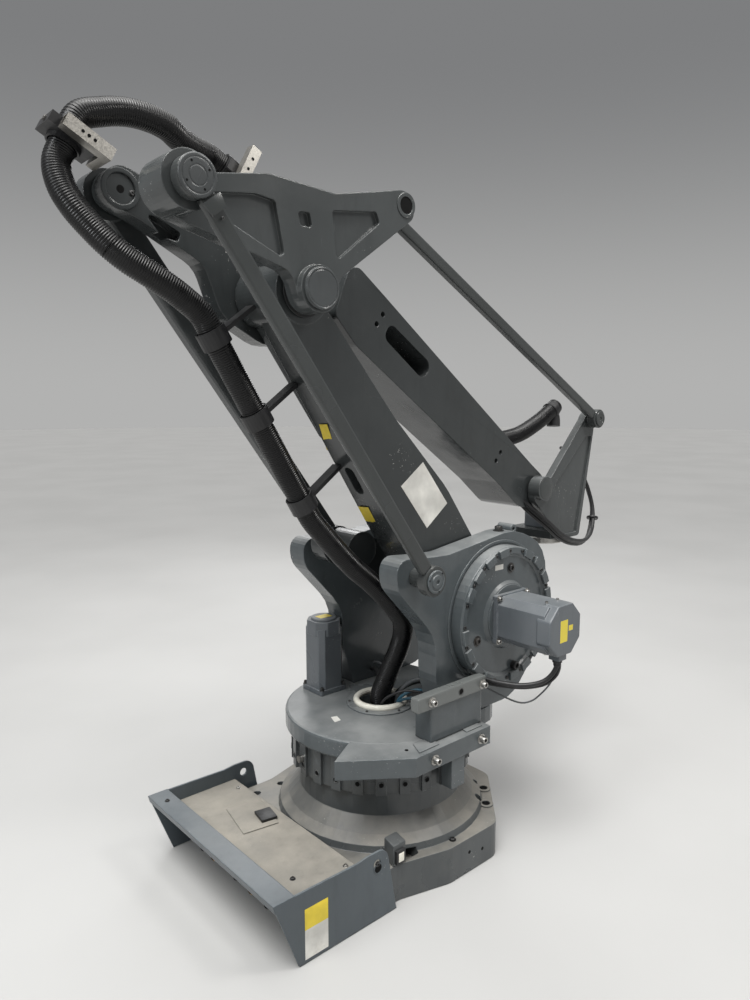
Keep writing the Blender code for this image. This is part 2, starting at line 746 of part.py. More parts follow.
def build_base(paint_grey, steel, black, sheet):
    """Cast base, stop ring, rear cover and connector box."""
    front = base_half_width
    near = -base_half_width
    round_off = base_corner_radius
    half = [(base_rear_x, -base_rear_half_width, 0),
            (base_shoulder_x, -base_rear_half_width, round_off),
            (base_waist_x, near, round_off),
            (front - base_chamfer, near, round_off),
            (front, near + base_chamfer, round_off)]
    corners = half + [(x, -y, r) for x, y, r in reversed(half)]
    base = slab("base_casting", [filleted(corners)], base_side_height, None,
                (0, 0, base_side_height / 2))
    bevel(base, base_bolt_seat_height, 2, radians(60))
    slope = base_side_height * 0.35
    dome = turned("base_dome", [
        (0, turntable_foot - pin_gap),
        (bearing_radius, turntable_foot - pin_gap),
        (bearing_radius, base_collar_top),
        (base_collar_radius, base_collar_top),
        (base_collar_radius, base_side_height + slope * 2),
        (base_collar_foot, base_side_height + slope),
        (base_dome_radius, base_side_height + slope / 2),
        (base_dome_radius + overrun, base_side_height - overrun),
        (0, base_side_height - overrun)], None, steps=48)
    join(base, dome)
    for side_x, side_y in ((1, -1), (1, 1), (-1, -1), (-1, 1)):
        along = base_bolt_spacing / 2
        middle = base_half_width - base_chamfer / 2 - base_bolt_inset / 2 ** 0.5
        for step in (-1, 1):
            x = middle + step * along / 2 ** 0.5
            y = middle - step * along / 2 ** 0.5
            if side_x < 0:
                x = -base_shoulder_x + base_bolt_inset + step * base_bolt_inset - overrun
                y = base_rear_half_width - base_bolt_inset
            centre = (side_x * x, side_y * y)
            hole = cylinder("bolt_hole", base_bolt_radius, -overrun, ring_top, None, centre,
                            "Z", 12)
            cut(base, hole)
    hollow = slab("base_pocket", [filleted(base_pocket)], base_pocket_depth + overrun, None,
                  (0, 0, base_side_height + (overrun - base_pocket_depth) / 2))
    cut(base, hollow)
    paint(base, paint_grey)

    ribs = []
    for rib in range(ring_rib_count):
        pitch = 2 * pi / ring_rib_count
        for share, radius in ((0, ring_root_radius), (0.5 - ring_rib_share / 2, ring_root_radius),
                              (0.5 - ring_rib_share / 2, ring_radius),
                              (0.5 + ring_rib_share / 2, ring_radius),
                              (0.5 + ring_rib_share / 2, ring_root_radius)):
            angle = pitch * (rib + share)
            ribs.append((radius * cos(angle), radius * sin(angle)))
    ring_height = ring_top - base_collar_top - seat_gap
    ring = slab("stop_ring", [ribs, circle_points((0, 0), ring_inner_radius)], ring_height, None,
                (0, 0, ring_top - ring_height / 2))
    paint(ring, paint_grey)
    pin_angle = radians(172)
    pin = cylinder("stop_pin", stop_pin_radius, ring_radius + seat_gap,
                   ring_radius + stop_pin_length, None, (0, (ring_top + base_collar_top) / 2),
                   "X", 16)
    pin.rotation_euler = (0, pi / 2, pin_angle)
    reach = ring_radius + seat_gap + (stop_pin_length - seat_gap) / 2
    pin.location = (reach * cos(pin_angle), reach * sin(pin_angle),
                    (ring_top + base_collar_top) / 2)
    paint(pin, steel)

    cheek_corners = [(cover_foot_x, cover_foot_gap, 0),
                     (cover_rear_x, cover_top, 0),
                     (cover_ear_x - cover_ear_radius * 2, cover_top - cover_sheet, cover_ear_radius),
                     (cover_ear_x - cover_ear_radius, cover_ear_z + cover_ear_radius, cover_ear_radius),
                     (cover_ear_x + cover_ear_radius, cover_ear_z + cover_ear_radius, cover_ear_radius),
                     (cover_front_x, cover_foot_gap, 0)]
    hole = circle_points((cover_ear_x, cover_ear_z), cover_ear_hole, 16)
    outlines = [filleted(cheek_corners), hole]
    outer = cover_half_width
    cover = plate("rear_cover", outlines, -outer, -outer + cover_sheet, None)
    far_cheek = plate("far_cheek", outlines, outer - cover_sheet, outer, None)
    strip_corners = [(cover_rear_x, cover_top, 0),
                     (cover_rear_x + cover_strip_depth, cover_top, 0),
                     (cover_rear_x + cover_strip_depth, cover_top - cover_sheet, 0),
                     (cover_rear_x + cover_sheet, cover_top - cover_sheet, 0),
                     (cover_rear_x + cover_sheet * 2, cover_top - cover_sheet * 4, 0),
                     (cover_rear_x + cover_sheet, cover_top - cover_sheet * 4, 0)]
    strip = plate("cover_strip", [strip_corners], -outer, outer, None)
    join(cover, far_cheek)
    join(cover, strip)
    paint(cover, paint_grey, smooth=False)

    connectors = box("connector_box", (box_rear_x, -box_half_width, box_foot),
                     (base_rear_x - seat_gap, box_half_width, box_top), None)
    paint(connectors, sheet, smooth=False)
    tray = box("tray_cover", (cover_rear_x + cover_strip_depth, -outer + cover_sheet + seat_gap,
                              box_top + seat_gap),
               (tray_front_x, outer - cover_sheet - seat_gap,
                box_top + tray_thickness), None)
    paint(tray, sheet, smooth=False)
    panel = box("connector_panel", (box_rear_x - tray_thickness, -box_half_width * 0.8,
                                    box_foot + connector_radius),
                (box_rear_x - seat_gap, box_half_width * 0.8, box_top - connector_radius), None)
    for share in (-0.6, -0.35, -0.1, 0.3, 0.5):
        plug = cylinder("plug", connector_radius, box_rear_x - connector_length,
                        box_rear_x - tray_thickness / 2, None,
                        (share * box_half_width, (box_foot + box_top) / 2), "X", 16)
        join(panel, plug)
    paint(panel, steel)


def frame_outline():
    """Corners of a side frame around axis 2, (x, z, radius) in world metres."""
    x2 = axis_2_forward
    z2 = axis_2_height
    boss_x = x2 + link_left_x
    boss_z = z2 + link_left_z
    boss = frame_boss_radius
    head = frame_head_radius
    return [(x2 - head * 0.95, turntable_top + seat_gap, 0),
            (x2 - head * 1.14, z2 - head * 0.62, head * 0.3),
            (x2 - head * 1.14, z2 - head * 0.10, head * 0.6),
            (boss_x - boss * 0.95, boss_z - boss * 0.35, boss),
            (boss_x - boss * 0.95, boss_z + boss * 0.75, boss * 0.9),
            (boss_x + boss * 0.60, boss_z + boss * 0.62, boss),
            (x2 - head * 0.95, z2 + head * 0.88, head * 0.3),
            (x2 + head * 0.30, z2 + head * 1.05, head * 0.8),
            (x2 + head * 1.03, z2 + head * 0.75, head * 0.8),
            (x2 + head * 1.00, z2 - head * 0.55, head * 0.6),
            (x2 + head * 0.35, turntable_top + seat_gap, head * 0.5)]


def octagon(size, corner_share):
    """Square of a size round the origin with its corners cut off."""
    half = size / 2
    short = half - size * corner_share
    return [(-half, -short), (-short, -half), (short, -half), (half, -short),
            (half, short), (short, half), (-short, half), (-half, short)]


def motor_shape(name, size, length, parent):
    """Motor standing on the origin along +Z: square flange, eight-sided body and cap."""
    motor = slab(name, [octagon(size, motor_edge / size)], motor_flange, parent)
    motor.data.transform(Matrix.Translation((0, 0, motor_flange / 2)))
    body = slab("motor_body", [octagon(size * motor_body_share, motor_corner_share)],
                length - motor_cap / 2 - motor_flange / 2, motor,
                (0, 0, (length - motor_cap / 2 + motor_flange / 2) / 2))
    join(motor, body)
    cap = slab("motor_cap", [octagon(size, motor_cap_corner_share)], motor_cap, motor,
               (0, 0, length - motor_cap / 2))
    bevel(cap, motor_edge)
    join(motor, cap)
    return motor


def build_turret(paint_grey, paint_blue, steel, white):
    """Turntable, side frames, gearboxes, motors and stops."""
    pivot = empty("axis_1_pivot", None, (0, 0, turntable_foot))
    drop = turntable_foot
    ear = [(ear_rear_x - (turntable_radius - ear_front_x), ear_root_y, 0),
           (ear_rear_x, ear_near_y, 0),
           (ear_front_x, ear_near_y, 0),
           (ear_front_x + overrun, ear_root_y, 0),
           (0, 0, 0)]
    height = turntable_top - turntable_foot
    table = cylinder("turntable", turntable_radius, 0, height, pivot, (0, 0), "Z", 64)
    bevel(table, turntable_edge)
    ear_piece = slab("ear", [filleted(ear)], height - overrun / 5, pivot, (0, 0, height / 2))
    join(table, ear_piece)
    front = turntable_radius * 1.05
    nose = [(0, -side_frame_outer_y, 0), (front, -side_frame_outer_y, turntable_radius / 3),
            (front, side_frame_outer_y, turntable_radius / 3), (0, side_frame_outer_y, 0)]
    nose_piece = slab("nose", [filleted(nose)], height - overrun / 2, pivot, (0, 0, height / 2))
    join(table, nose_piece)
    block = box("stop_block", (stop_block_x - stop_block_width / 2, ear_near_y + overrun / 2,
                               -stop_block_drop),
                (stop_block_x + stop_block_width / 2,
                 ear_near_y + overrun / 2 + stop_block_depth - overrun, height / 2), pivot)
    join(table, block)
    hole = cylinder("cable_hole", cable_hole_radius, -overrun, height + overrun, pivot, (0, 0),
                    "Z", 32)
    cut(table, hole)
    paint(table, paint_grey)

    ring = turned("cable_ring", [
        (cable_ring_radius + cable_ring_wire * sin(angle), cable_ring_wire * cos(angle))
        for angle in [2 * pi * step / 12 for step in range(12)]] + [
        (cable_ring_radius, cable_ring_wire)], pivot,
        (0, 0, height + cable_ring_wire + seat_gap), steps=32)
    paint(ring, white)

    outline = filleted(frame_outline())
    for name, near_y, far_y in (("near_side_frame", -side_frame_outer_y, -side_frame_inner_y),
                                ("far_side_frame", side_frame_inner_y, side_frame_outer_y)):
        frame = plate(name, [outline], near_y, far_y, pivot)
        frame.location.z -= drop
        bevel(frame, frame_edge)
        paint(frame, paint_grey)

    centre = (axis_2_forward, axis_2_height - drop)
    for name, side in (("axis_2", -1), ("axis_3", 1)):
        start = side_frame_outer_y + seat_gap
        profile = [(0, gearbox_outer_y - start),
                   (gearbox_hub_radius, gearbox_outer_y - start),
                   (gearbox_hub_radius + gearbox_step, gearbox_outer_y - start - gearbox_step),
                   (gearbox_step_radius, gearbox_outer_y - start - gearbox_step),
                   (gearbox_step_radius + gearbox_step, gearbox_outer_y - start),
                   (gearbox_radius - gearbox_step / 2, gearbox_outer_y - start),
                   (gearbox_radius, gearbox_outer_y - start - gearbox_step / 2),
                   (gearbox_radius, 0),
                   (0, 0)]
        gearbox = turned(name + "_gearbox", profile, pivot,
                         (centre[0], side * start, centre[1]), (-side * pi / 2, 0, 0), 64)
        paint(gearbox, paint_grey)
        near = side * (gearbox_outer_y + seat_gap)
        far = side * (gearbox_outer_y + motor_length)
        half = motor_size / 2
        motor = motor_shape(name + "_motor", motor_size, motor_length - seat_gap, pivot)
        motor.location = (centre[0], near, centre[1])
        motor.rotation_euler = (-side * pi / 2, 0, 0)
        plug = far - side * motor_cap / 2
        low = centre[1] - half
        socket = box("motor_socket", (centre[0] - connector_block / 2,
                                      plug - connector_block / 2, low - connector_block / 2),
                     (centre[0] + connector_block / 2, plug + connector_block / 2,
                      low + connector_block / 2), pivot)
        join(motor, socket)
        paint(motor, paint_blue)

    motor = motor_shape("axis_1_motor", axis_1_motor_size, axis_1_motor_height, pivot)
    motor.location = (axis_1_motor_x, axis_1_motor_y, height + seat_gap)
    paint(motor, paint_blue)

    bar = box("stop_bar", (stop_bar_rear_x, stop_bar_near_y, stop_bar_foot - drop),
              (stop_bar_front_x, -gearbox_outer_y - pin_gap,
               stop_bar_foot + stop_bar_height - drop), pivot)
    bevel(bar, link_edge)
    post = box("bar_post", (stop_post_rear_x, stop_bar_near_y + overrun, height + seat_gap),
               (stop_bar_front_x - overrun, -side_frame_outer_y - seat_gap,
                stop_bar_foot + overrun - drop), pivot)
    bevel(post, link_edge)
    join(bar, post)
    paint(bar, paint_grey)
    return pivot


def build_lower_arm(turret, paint_dark, steel):
    """Lower arm with its hub on axis 2 and its boss on the elbow."""
    drop = turntable_foot
    pivot = empty("axis_2_pivot", turret, (axis_2_forward, 0, axis_2_height - drop),
                  radians(lower_arm_lean))
    length = lower_arm_length
    hub = lower_hub_radius
    boss = lower_boss_radius
    outline = [(-hub * 1.00, -hub * 0.2, hub * 0.9),
               (-lower_waist_rear, lower_waist_height, length * 0.2),
               (-lower_neck_rear, lower_neck_height, boss),
               (-boss * 0.62, length + boss * 0.86, boss * 0.8),
               (boss * 0.62, length + boss * 0.86, boss * 0.8),
               (boss * 0.52, length * 0.93, boss),
               (boss * 0.84, length * 0.62, length * 0.3),
               (hub * 0.98, length * 0.36, length * 0.2),
               (hub * 0.98, length * 0.12, hub),
               (hub * 0.75, -hub * 0.75, hub * 0.9),
               (-hub * 0.75, -hub * 0.75, hub * 0.9)]
    arm = plate("lower_arm", [filleted(outline)], lower_arm_near_y, lower_arm_far_y, pivot)
    bevel(arm, lower_arm_edge)
    flare = [(-boss * 0.86, length * 0.60, boss * 0.2),
             (-boss * 0.74, length * 0.95, boss),
             (-boss * 0.60, length + boss * 0.82, boss * 0.8),
             (boss * 0.60, length + boss * 0.82, boss * 0.8),
             (boss * 0.48, length * 0.93, boss),
             (boss * 0.30, length * 0.72, boss * 0.5)]
    wide = plate("lower_arm_flare", [filleted(flare)], lower_arm_near_y + overrun,
                 lower_arm_top_far_y, pivot)
    join(arm, wide)
    top_boss = cylinder("lower_arm_boss", boss, lower_arm_near_y - pin_gap * 5,
                        lower_arm_top_far_y + pin_gap * 2, pivot, (0, length), "Y", 48)
    join(arm, top_boss)
    hole = cylinder("elbow_bore", elbow_shaft_radius + pin_gap, elbow_link_near_y,
                    upper_arm_far_y, pivot, (0, length), "Y", 32)
    cut(arm, hole)
    stub = cylinder("arm_stub", shaft_radius, -side_frame_inner_y + pin_gap,
                    lower_arm_near_y + overrun, pivot, (0, 0), "Y", 32)
    join(arm, stub)
    across, along = oval_hole_centre
    reach = oval_hole_length / 2
    oval = [(-oval_hole_width / 2, -reach, oval_hole_width / 2),
            (-oval_hole_width / 2, reach, oval_hole_width / 2),
            (oval_hole_width / 2, reach, oval_hole_width / 2),
            (oval_hole_width / 2, -reach, oval_hole_width / 2)]
    hollow = slab("oval_hole", [filleted(oval)], oval_hole_depth * 2, pivot,
                  (lower_rear_face(along), across, along), (pi / 2, 0, pi / 2))
    cut(arm, hollow)
    paint(arm, paint_dark)
    return pivot


def build_upper_arm(lower, paint_dark, steel):
    """Elbow link, upper arm and what they carry."""
    elbow = empty("elbow_pivot", lower, (0, 0, lower_arm_length), -radians(lower_arm_lean))
    pivot = empty("axis_3_pivot", elbow, (0, 0, 0), radians(upper_arm_dip))
    length = upper_arm_length
    hub = upper_hub_radius
    end = wrist_end_radius
    beam = [(length * 0.135, hub * 0.42, hub * 0.2),
            (length * 0.12, hub * 1.80, hub * 0.3),
            (length * 0.25, hub * 1.62, hub * 0.5),
            (length * 0.95, end * 0.78, end * 0.8),
            (length + end * 0.80, end * 0.62, end * 0.8),
            (length + end * 0.80, -end * 0.62, end * 0.8),
            (length - end * 0.5, -end * 1.02, end * 0.9),
            (length * 0.84, -end * 0.72, end * 0.9),
            (length * 0.22, hub * 0.12, hub * 0.4)]
    arm = plate("upper_arm", [filleted(beam)], upper_arm_near_y, upper_arm_far_y, pivot)
    pocket(arm, "side_slot", side_slot, upper_arm_near_y, side_slot_depth, pivot)
    bevel(arm, upper_arm_edge)
    for place in side_holes:
        hole = cylinder("side_hole", side_hole_radius, upper_arm_near_y - overrun,
                        upper_arm_near_y + side_hole_depth, pivot, place, "Y", 12)
        cut(arm, hole)
    rear_x = -crank_length
    rear = rear_boss_radius
    root = [(rear_x - rear * 0.75, crank_offset - rear * 0.85, rear * 0.8),
            (rear_x - rear * 0.75, crank_offset + rear * 0.85, rear * 0.8),
            (*cheek_top_rear, rear),
            (*cheek_top_front, hub * 0.8),
            (length * 0.20, hub * 1.62, hub * 0.3),
            (length * 0.24, hub * 0.30, hub * 0.3),
            (hub * 0.55, -hub * 0.86, hub * 0.8),
            (-hub * 0.66, -hub * 0.86, hub * 0.8),
            (-hub * 1.5, -hub * 0.12, hub * 0.6),
            (rear_x + rear * 1.2, crank_offset - rear * 0.55, rear * 0.6)]
    cheek = plate("rear_cheek", [filleted(root)], rear_cheek_near_y, crank_far_y, pivot)
    bevel(cheek, upper_arm_edge / 2)
    pocket(cheek, "cheek_window", cheek_window, rear_cheek_near_y, cheek_window_depth, pivot)
    join(arm, cheek)
    bore = cylinder("shaft_bore", elbow_shaft_radius + pin_gap, rear_cheek_near_y - overrun,
                    upper_arm_far_y + overrun, pivot, (0, 0), "Y", 32)
    cut(arm, bore)
    pin_bore = cylinder("rear_bore", crank_pin_radius + pin_gap, rear_cheek_near_y + overrun * 3,
                        parallel_rod_far_y, pivot, (rear_x, crank_offset), "Y", 24)
    cut(arm, pin_bore)
    paint(arm, paint_dark)
    pin = cylinder("rear_pin", crank_pin_radius, rear_cheek_near_y + overrun * 3 + pin_gap,
                   parallel_rod_far_y, pivot, (rear_x, crank_offset), "Y", 32)
    paint(pin, steel)
    shaft = cylinder("elbow_shaft", elbow_shaft_radius, elbow_link_near_y + overrun * 2 + pin_gap,
                     upper_arm_far_y - seat_gap, pivot, (0, 0), "Y", 32)
    shaft.parent = lower
    shaft.location = (0, shaft.location.y, lower_arm_length)
    paint(shaft, steel)
    return elbow, pivot


def rod_between(name, length, width, eye, near_y, far_y, parent, pin_hole, step=0.0):
    """Straight rod along local -Z between two eyes, with an optional pin hole in each."""
    half = width / 2
    neck = eye * 0.9
    outline = [(-half, -neck, 0), (half, -neck, 0), (half, -length + neck, 0),
               (-half, -length + neck, 0)]
    inset = (far_y - near_y) * 0.12
    rod = plate(name, [filleted(outline)], near_y + inset, far_y - inset, parent)
    bevel(rod, half * 0.35)
    for place in (0, -length):
        end = cylinder("rod_eye", eye, near_y, far_y, parent, (0, place), "Y", 32)
        bevel(end, step + link_edge / 2, 1)
        join(rod, end)
    if pin_hole:
        for place in (0, -length):
            hole = cylinder("eye_bore", pin_hole, near_y - overrun, far_y + overrun, parent,
                            (0, place), "Y", 24)
            cut(rod, hole)
    return rod


def build_crank(turret, paint_dark, steel):
    """Crank on axis 2, its pin and the parallel rod up to the upper arm."""
    pivot = empty("crank_pivot", turret, (axis_2_forward, 0, axis_2_height - turntable_foot),
                  radians(upper_arm_dip))
    hub = crank_hub_radius
    end = crank_end_radius
    x = -crank_length
    z = crank_offset
    outline = [(hub * 0.70, -hub * 0.78, hub * 0.8),
               (hub * 0.70, hub * 0.78, hub * 0.8),
               (-hub * 0.80, hub * 1.00, hub * 0.8),
               (x + end * 0.3, z + end * 1.02, end),
               (x - end * 0.86, z + end * 0.86, end * 0.8),
               (x - end * 0.86, z - end * 0.86, end * 0.8),
               (x + end * 0.8, z - end * 1.02, end),
               (-hub * 0.80, -hub * 1.00, hub * 0.8)]
    crank = plate("crank", [filleted(outline)], crank_arm_near_y, crank_far_y, pivot)
    bevel(crank, link_edge)
    boss = cylinder("crank_boss", end, crank_near_y, crank_far_y - overrun, pivot, (x, z), "Y", 32)
    join(crank, boss)
    shaft = cylinder("crank_shaft", shaft_radius, lower_arm_far_y + running_gap,
                     side_frame_inner_y - pin_gap, pivot, (0, 0), "Y", 32)
    join(crank, shaft)
    bore = cylinder("crank_bore", crank_pin_radius + pin_gap, crank_near_y + overrun * 3,
                    parallel_rod_far_y, pivot, (x, z), "Y", 24)
    cut(crank, bore)
    paint(crank, paint_dark)

    pin_pivot = empty("crank_pin_pivot", pivot, (x, 0, z), -radians(upper_arm_dip))
    pin = cylinder("crank_pin", crank_pin_radius, crank_near_y + overrun * 3 + pin_gap,
                   parallel_rod_far_y, pin_pivot, (0, 0), "Y", 32)
    paint(pin, steel)

    rod_pivot = empty("parallel_rod_pivot", pin_pivot, (0, 0, 0), radians(lower_arm_lean))
    eye = parallel_eye_radius
    half = parallel_rod_width / 2
    length = lower_arm_length
    outline = [(-half, 0, 0), (-half * 0.9, length, 0), (half * 0.9, length, 0), (half, 0, 0)]
    rod = plate("parallel_rod", [outline], parallel_rod_near_y + overrun,
                parallel_rod_far_y - overrun, rod_pivot)
    bevel(rod, link_edge * 2)
    for place in (0, length):
        ring = cylinder("rod_ring", eye, parallel_rod_near_y, parallel_rod_far_y, rod_pivot,
                        (0, place), "Y", 32)
        join(rod, ring)
    for place in (0, length):
        hole = cylinder("ring_bore", crank_pin_radius + pin_gap, parallel_rod_near_y - overrun,
                        parallel_rod_far_y + overrun, rod_pivot, (0, place), "Y", 24)
        cut(rod, hole)
    paint(rod, paint_dark)


def build_link(turret, elbow, paint_dark, steel):
    """Elbow link and the two rods that keep the wrist level."""
    left = left_lobe_radius
    right = right_lobe_radius
    low = elbow_lobe_radius
    lx, lz, rx, rz = link_left_x, link_left_z, link_right_x, link_right_z
    top = rz + right * 0.3
    outline = [(lx - left * 0.80, lz - left * 0.80, left * 0.8),
               (lx - left * 0.80, lz + left * 0.80, left * 0.8),
               (lx + left * 1.3, lz + left * 0.70, left),
               (lx * 0.36, top - right * 0.3, left),
               (rx * 0.2, top - right * 0.6, right),
               (rx - right * 0.4, rz + right * 0.98, right),
               (rx + right * 0.80, rz + right * 0.80, right * 0.8),
               (rx + right * 0.80, rz - right * 0.80, right * 0.8),
               (low * 1.2, low * 0.55, low * 0.8),
               (low * 0.72, -low * 0.80, low * 0.8),
               (-low * 0.72, -low * 0.80, low * 0.8),
               (-low * 1.1, low * 0.55, low * 0.8)]
    link = plate("elbow_link", [filleted(outline)], elbow_link_near_y + overrun * 3,
                 elbow_link_far_y, elbow)
    bevel(link, link_edge)
    for name, place, radius, near_y, far_y in (
            ("left_lobe", (lx, lz), left, link_rod_far_y + running_gap, elbow_link_far_y - overrun),
            ("elbow_lobe", (0, 0), low * 0.9, elbow_link_near_y + overrun, elbow_link_far_y),
            ("right_lobe", (rx, rz), right, elbow_link_near_y + overrun * 5,
             upper_rod_near_y - running_gap)):
        lobe = cylinder(name, radius, near_y, far_y, elbow, place, "Y", 32)
        join(link, lobe)
    hole = cylinder("link_bore", elbow_shaft_radius + pin_gap, elbow_link_near_y + overrun * 2,
                    upper_arm_far_y, elbow, (0, 0), "Y", 32)
    cut(link, hole)
    for corners in link_pockets:
        pocket(link, "link_pocket", corners, elbow_link_near_y + overrun * 3, link_pocket_depth,
               elbow)
    paint(link, paint_dark)
    cap = cylinder("elbow_cap", elbow_cap_radius, elbow_link_near_y,
                   elbow_link_near_y + overrun - seat_gap, elbow, (0, 0), "Y", 40)
    bevel(cap, link_edge / 2)
    paint(cap, paint_dark)
    pin = cylinder("link_pin_left", link_pin_radius, link_rod_near_y - rod_eye_step,
                   link_rod_far_y + running_gap - seat_gap, elbow, (lx, lz), "Y", 24)
    paint(pin, steel)
    pin = cylinder("link_pin_right", link_pin_radius, upper_rod_near_y - running_gap + seat_gap,
                   upper_rod_far_y, elbow, (rx, rz), "Y", 24)
    paint(pin, steel)

    foot = empty("lower_rod_pivot", turret, (axis_2_forward + lx, 0,
                                             axis_2_height + lz - turntable_foot),
                 radians(lower_arm_lean) + pi)
    rod = rod_between("lower_link_rod", lower_arm_length, lower_rod_width, rod_eye_radius,
                      link_rod_near_y, link_rod_far_y, foot, link_pin_radius + pin_gap)
    paint(rod, paint_dark)
    stub = cylinder("frame_link_pin", link_pin_radius, link_rod_near_y - rod_eye_step,
                    -side_frame_outer_y - seat_gap, foot, (0, 0), "Y", 24)
    collar = cylinder("link_collar", link_collar_radius, link_rod_far_y + running_gap,
                      -side_frame_outer_y - seat_gap, turret,
                      (axis_2_forward + lx, axis_2_height + lz - turntable_foot), "Y", 24)
    join(stub, collar)
    stub.parent = turret
    stub.location = (axis_2_forward + lx, stub.location.y, axis_2_height + lz - turntable_foot)
    paint(stub, steel)

    head = empty("upper_rod_pivot", elbow, (rx, 0, rz), radians(upper_arm_dip) - pi / 2)
    rod = rod_between("upper_link_rod", upper_arm_length, upper_rod_width, rod_eye_radius * 0.8,
                      upper_rod_near_y, upper_rod_far_y, head, link_pin_radius + pin_gap)
    paint(rod, paint_dark)


def build_wrist(upper, paint_dark, paint_blue, steel, black):
    """Tilt housing at the end of the upper arm, with axis 6."""
    pivot = empty("wrist_pivot", upper, (upper_arm_length, 0, 0), -radians(upper_arm_dip))
    rx, rz = link_right_x, link_right_z
    boss = wrist_boss_radius
    eye = top_eye_radius
    tool_x = tool_axis_forward
    foot = -tool_face_drop + flange_thickness
    outline = [(-boss * 0.85, -boss * 0.85, boss * 0.8),
               (-boss * 0.85, boss * 0.85, boss * 0.8),
               (boss * 1.3, boss * 0.7, boss * 0.6),
               (rx - eye * 1.6, rz - eye * 0.2, eye),
               (rx - eye * 0.85, rz + eye * 0.85, eye * 0.8),
               (rx + eye * 0.85, rz + eye * 0.85, eye * 0.8),
               (rx + eye * 0.95, rz - eye * 1.5, eye * 2),
               (tool_x + boss * 1.6, foot, boss * 0.4),
               (tool_x - boss * 1.2, foot, boss * 0.4)]
    housing = plate("tilt_housing", [filleted(outline)], upper_rod_far_y + running_gap,
                    wrist_far_y, pivot)
    bevel(housing, wrist_edge)
    head = cylinder("wrist_head", boss, wrist_near_y, wrist_far_y - overrun / 2, pivot, (0, 0),
                    "Y", 32)
    join(housing, head)
    deck = box("wrist_deck", (tool_x - flange_radius * 0.95, wrist_far_y - overrun, foot),
               (tool_x + flange_radius * 0.95, flange_radius * 0.95, foot + flange_thickness), pivot)
    join(housing, deck)
    hole = cylinder("wrist_bore", wrist_pin_radius + pin_gap, wrist_near_y + overrun,
                    wrist_far_y + overrun, pivot, (0, 0), "Y", 24)
    cut(housing, hole)
    rim = wrist_rim
    panel = [(boss * 1.9, boss * 0.1, rim), (rx - eye * 0.9, rz - eye * 2.4, rim),
             (rx + eye * 0.95 - rim, rz - eye * 2.4, rim / 2),
             (tool_x + boss * 1.6 - rim * 1.3, foot + rim, rim / 2),
             (tool_x - boss * 1.2 + rim / 2, foot + rim, rim / 2)]
    pocket(housing, "wrist_pocket", panel, upper_rod_far_y + running_gap, wrist_pocket_depth,
           pivot)
    paint(housing, paint_dark)
    shaft = cylinder("wrist_pin", wrist_pin_radius, wrist_near_y + overrun + pin_gap,
                     upper_arm_near_y - seat_gap, upper, (upper_arm_length, 0), "Y", 24)
    paint(shaft, steel)
    top_pin = cylinder("wrist_top_pin", link_pin_radius, upper_rod_near_y,
                       upper_rod_far_y + running_gap - seat_gap, pivot, (rx, rz), "Y", 24)
    paint(top_pin, steel)
    half = tool_motor_size / 2
    motor = box("axis_6_motor", (tool_x - half, -half, foot + flange_thickness + seat_gap),
                (tool_x + half, half, foot + flange_thickness + tool_motor_height), pivot)
    bevel(motor, motor_edge)
    paint(motor, paint_blue)
    flange = cylinder("tool_flange", flange_radius, -tool_face_drop,
                      foot - pin_gap, pivot, (tool_x, 0), "Z", 40)
    bevel(flange, link_edge)
    paint(flange, steel)


def main():
    clear_scene()
    paint_grey = material("grey_paint_base", paint_base, 0.42, 0.0)
    paint_dark = material("grey_paint_arm", paint_arm, 0.38, 0.0)
    paint_blue = material("motor_paint", paint_motor, 0.45, 0.0)
    steel = material("steel", bare_steel, 0.35, 1.0)
    black = material("black_plastic", black_plastic, 0.5, 0.0)
    white = material("white_plastic", white_plastic, 0.4, 0.0)
    sheet = material("dusty_sheet", dusty_sheet, 0.7, 0.0)
    aluminium = material("aluminium", bare_aluminium, 0.4, 1.0)
    build_base(paint_grey, steel, black, sheet)
    turret = build_turret(paint_grey, paint_blue, steel, white)
    lower = build_lower_arm(turret, paint_dark, steel)
    elbow, upper = build_upper_arm(lower, paint_dark, steel)
    build_crank(turret, paint_dark, steel)
    build_link(turret, elbow, paint_dark, steel)
    build_wrist(upper, paint_dark, paint_blue, steel, black)
    build_hoses(turret, lower, upper, black, aluminium)


main()
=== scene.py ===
"""Looks of the palletising robot arm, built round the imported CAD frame, in metres.

Camera and light, procedural paint, steel and plastic for every CAD node, the corrugated
hose, screws, cables, seals and blank stickers.
"""

from math import cos, pi, radians, sin

import bmesh
import bpy
from mathutils import Matrix, Vector


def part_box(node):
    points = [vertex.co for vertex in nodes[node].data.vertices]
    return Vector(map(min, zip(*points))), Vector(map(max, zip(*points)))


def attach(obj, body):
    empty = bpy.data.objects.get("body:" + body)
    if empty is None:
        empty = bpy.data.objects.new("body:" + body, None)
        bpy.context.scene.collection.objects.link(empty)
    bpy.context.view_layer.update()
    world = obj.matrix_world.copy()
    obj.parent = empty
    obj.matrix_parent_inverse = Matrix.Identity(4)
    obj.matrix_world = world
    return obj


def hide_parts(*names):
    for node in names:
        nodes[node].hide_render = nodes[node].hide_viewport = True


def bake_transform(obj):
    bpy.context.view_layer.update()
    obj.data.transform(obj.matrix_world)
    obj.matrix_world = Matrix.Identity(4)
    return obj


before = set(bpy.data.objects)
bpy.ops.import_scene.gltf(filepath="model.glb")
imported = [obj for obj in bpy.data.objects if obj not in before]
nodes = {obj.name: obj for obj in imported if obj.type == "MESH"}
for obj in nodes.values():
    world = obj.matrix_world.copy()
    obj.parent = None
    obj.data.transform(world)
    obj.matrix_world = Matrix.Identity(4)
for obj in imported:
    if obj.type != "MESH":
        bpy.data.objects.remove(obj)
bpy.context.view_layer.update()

# Driving sizes of the arm, as in the part's source
lower_arm_length = 1.280
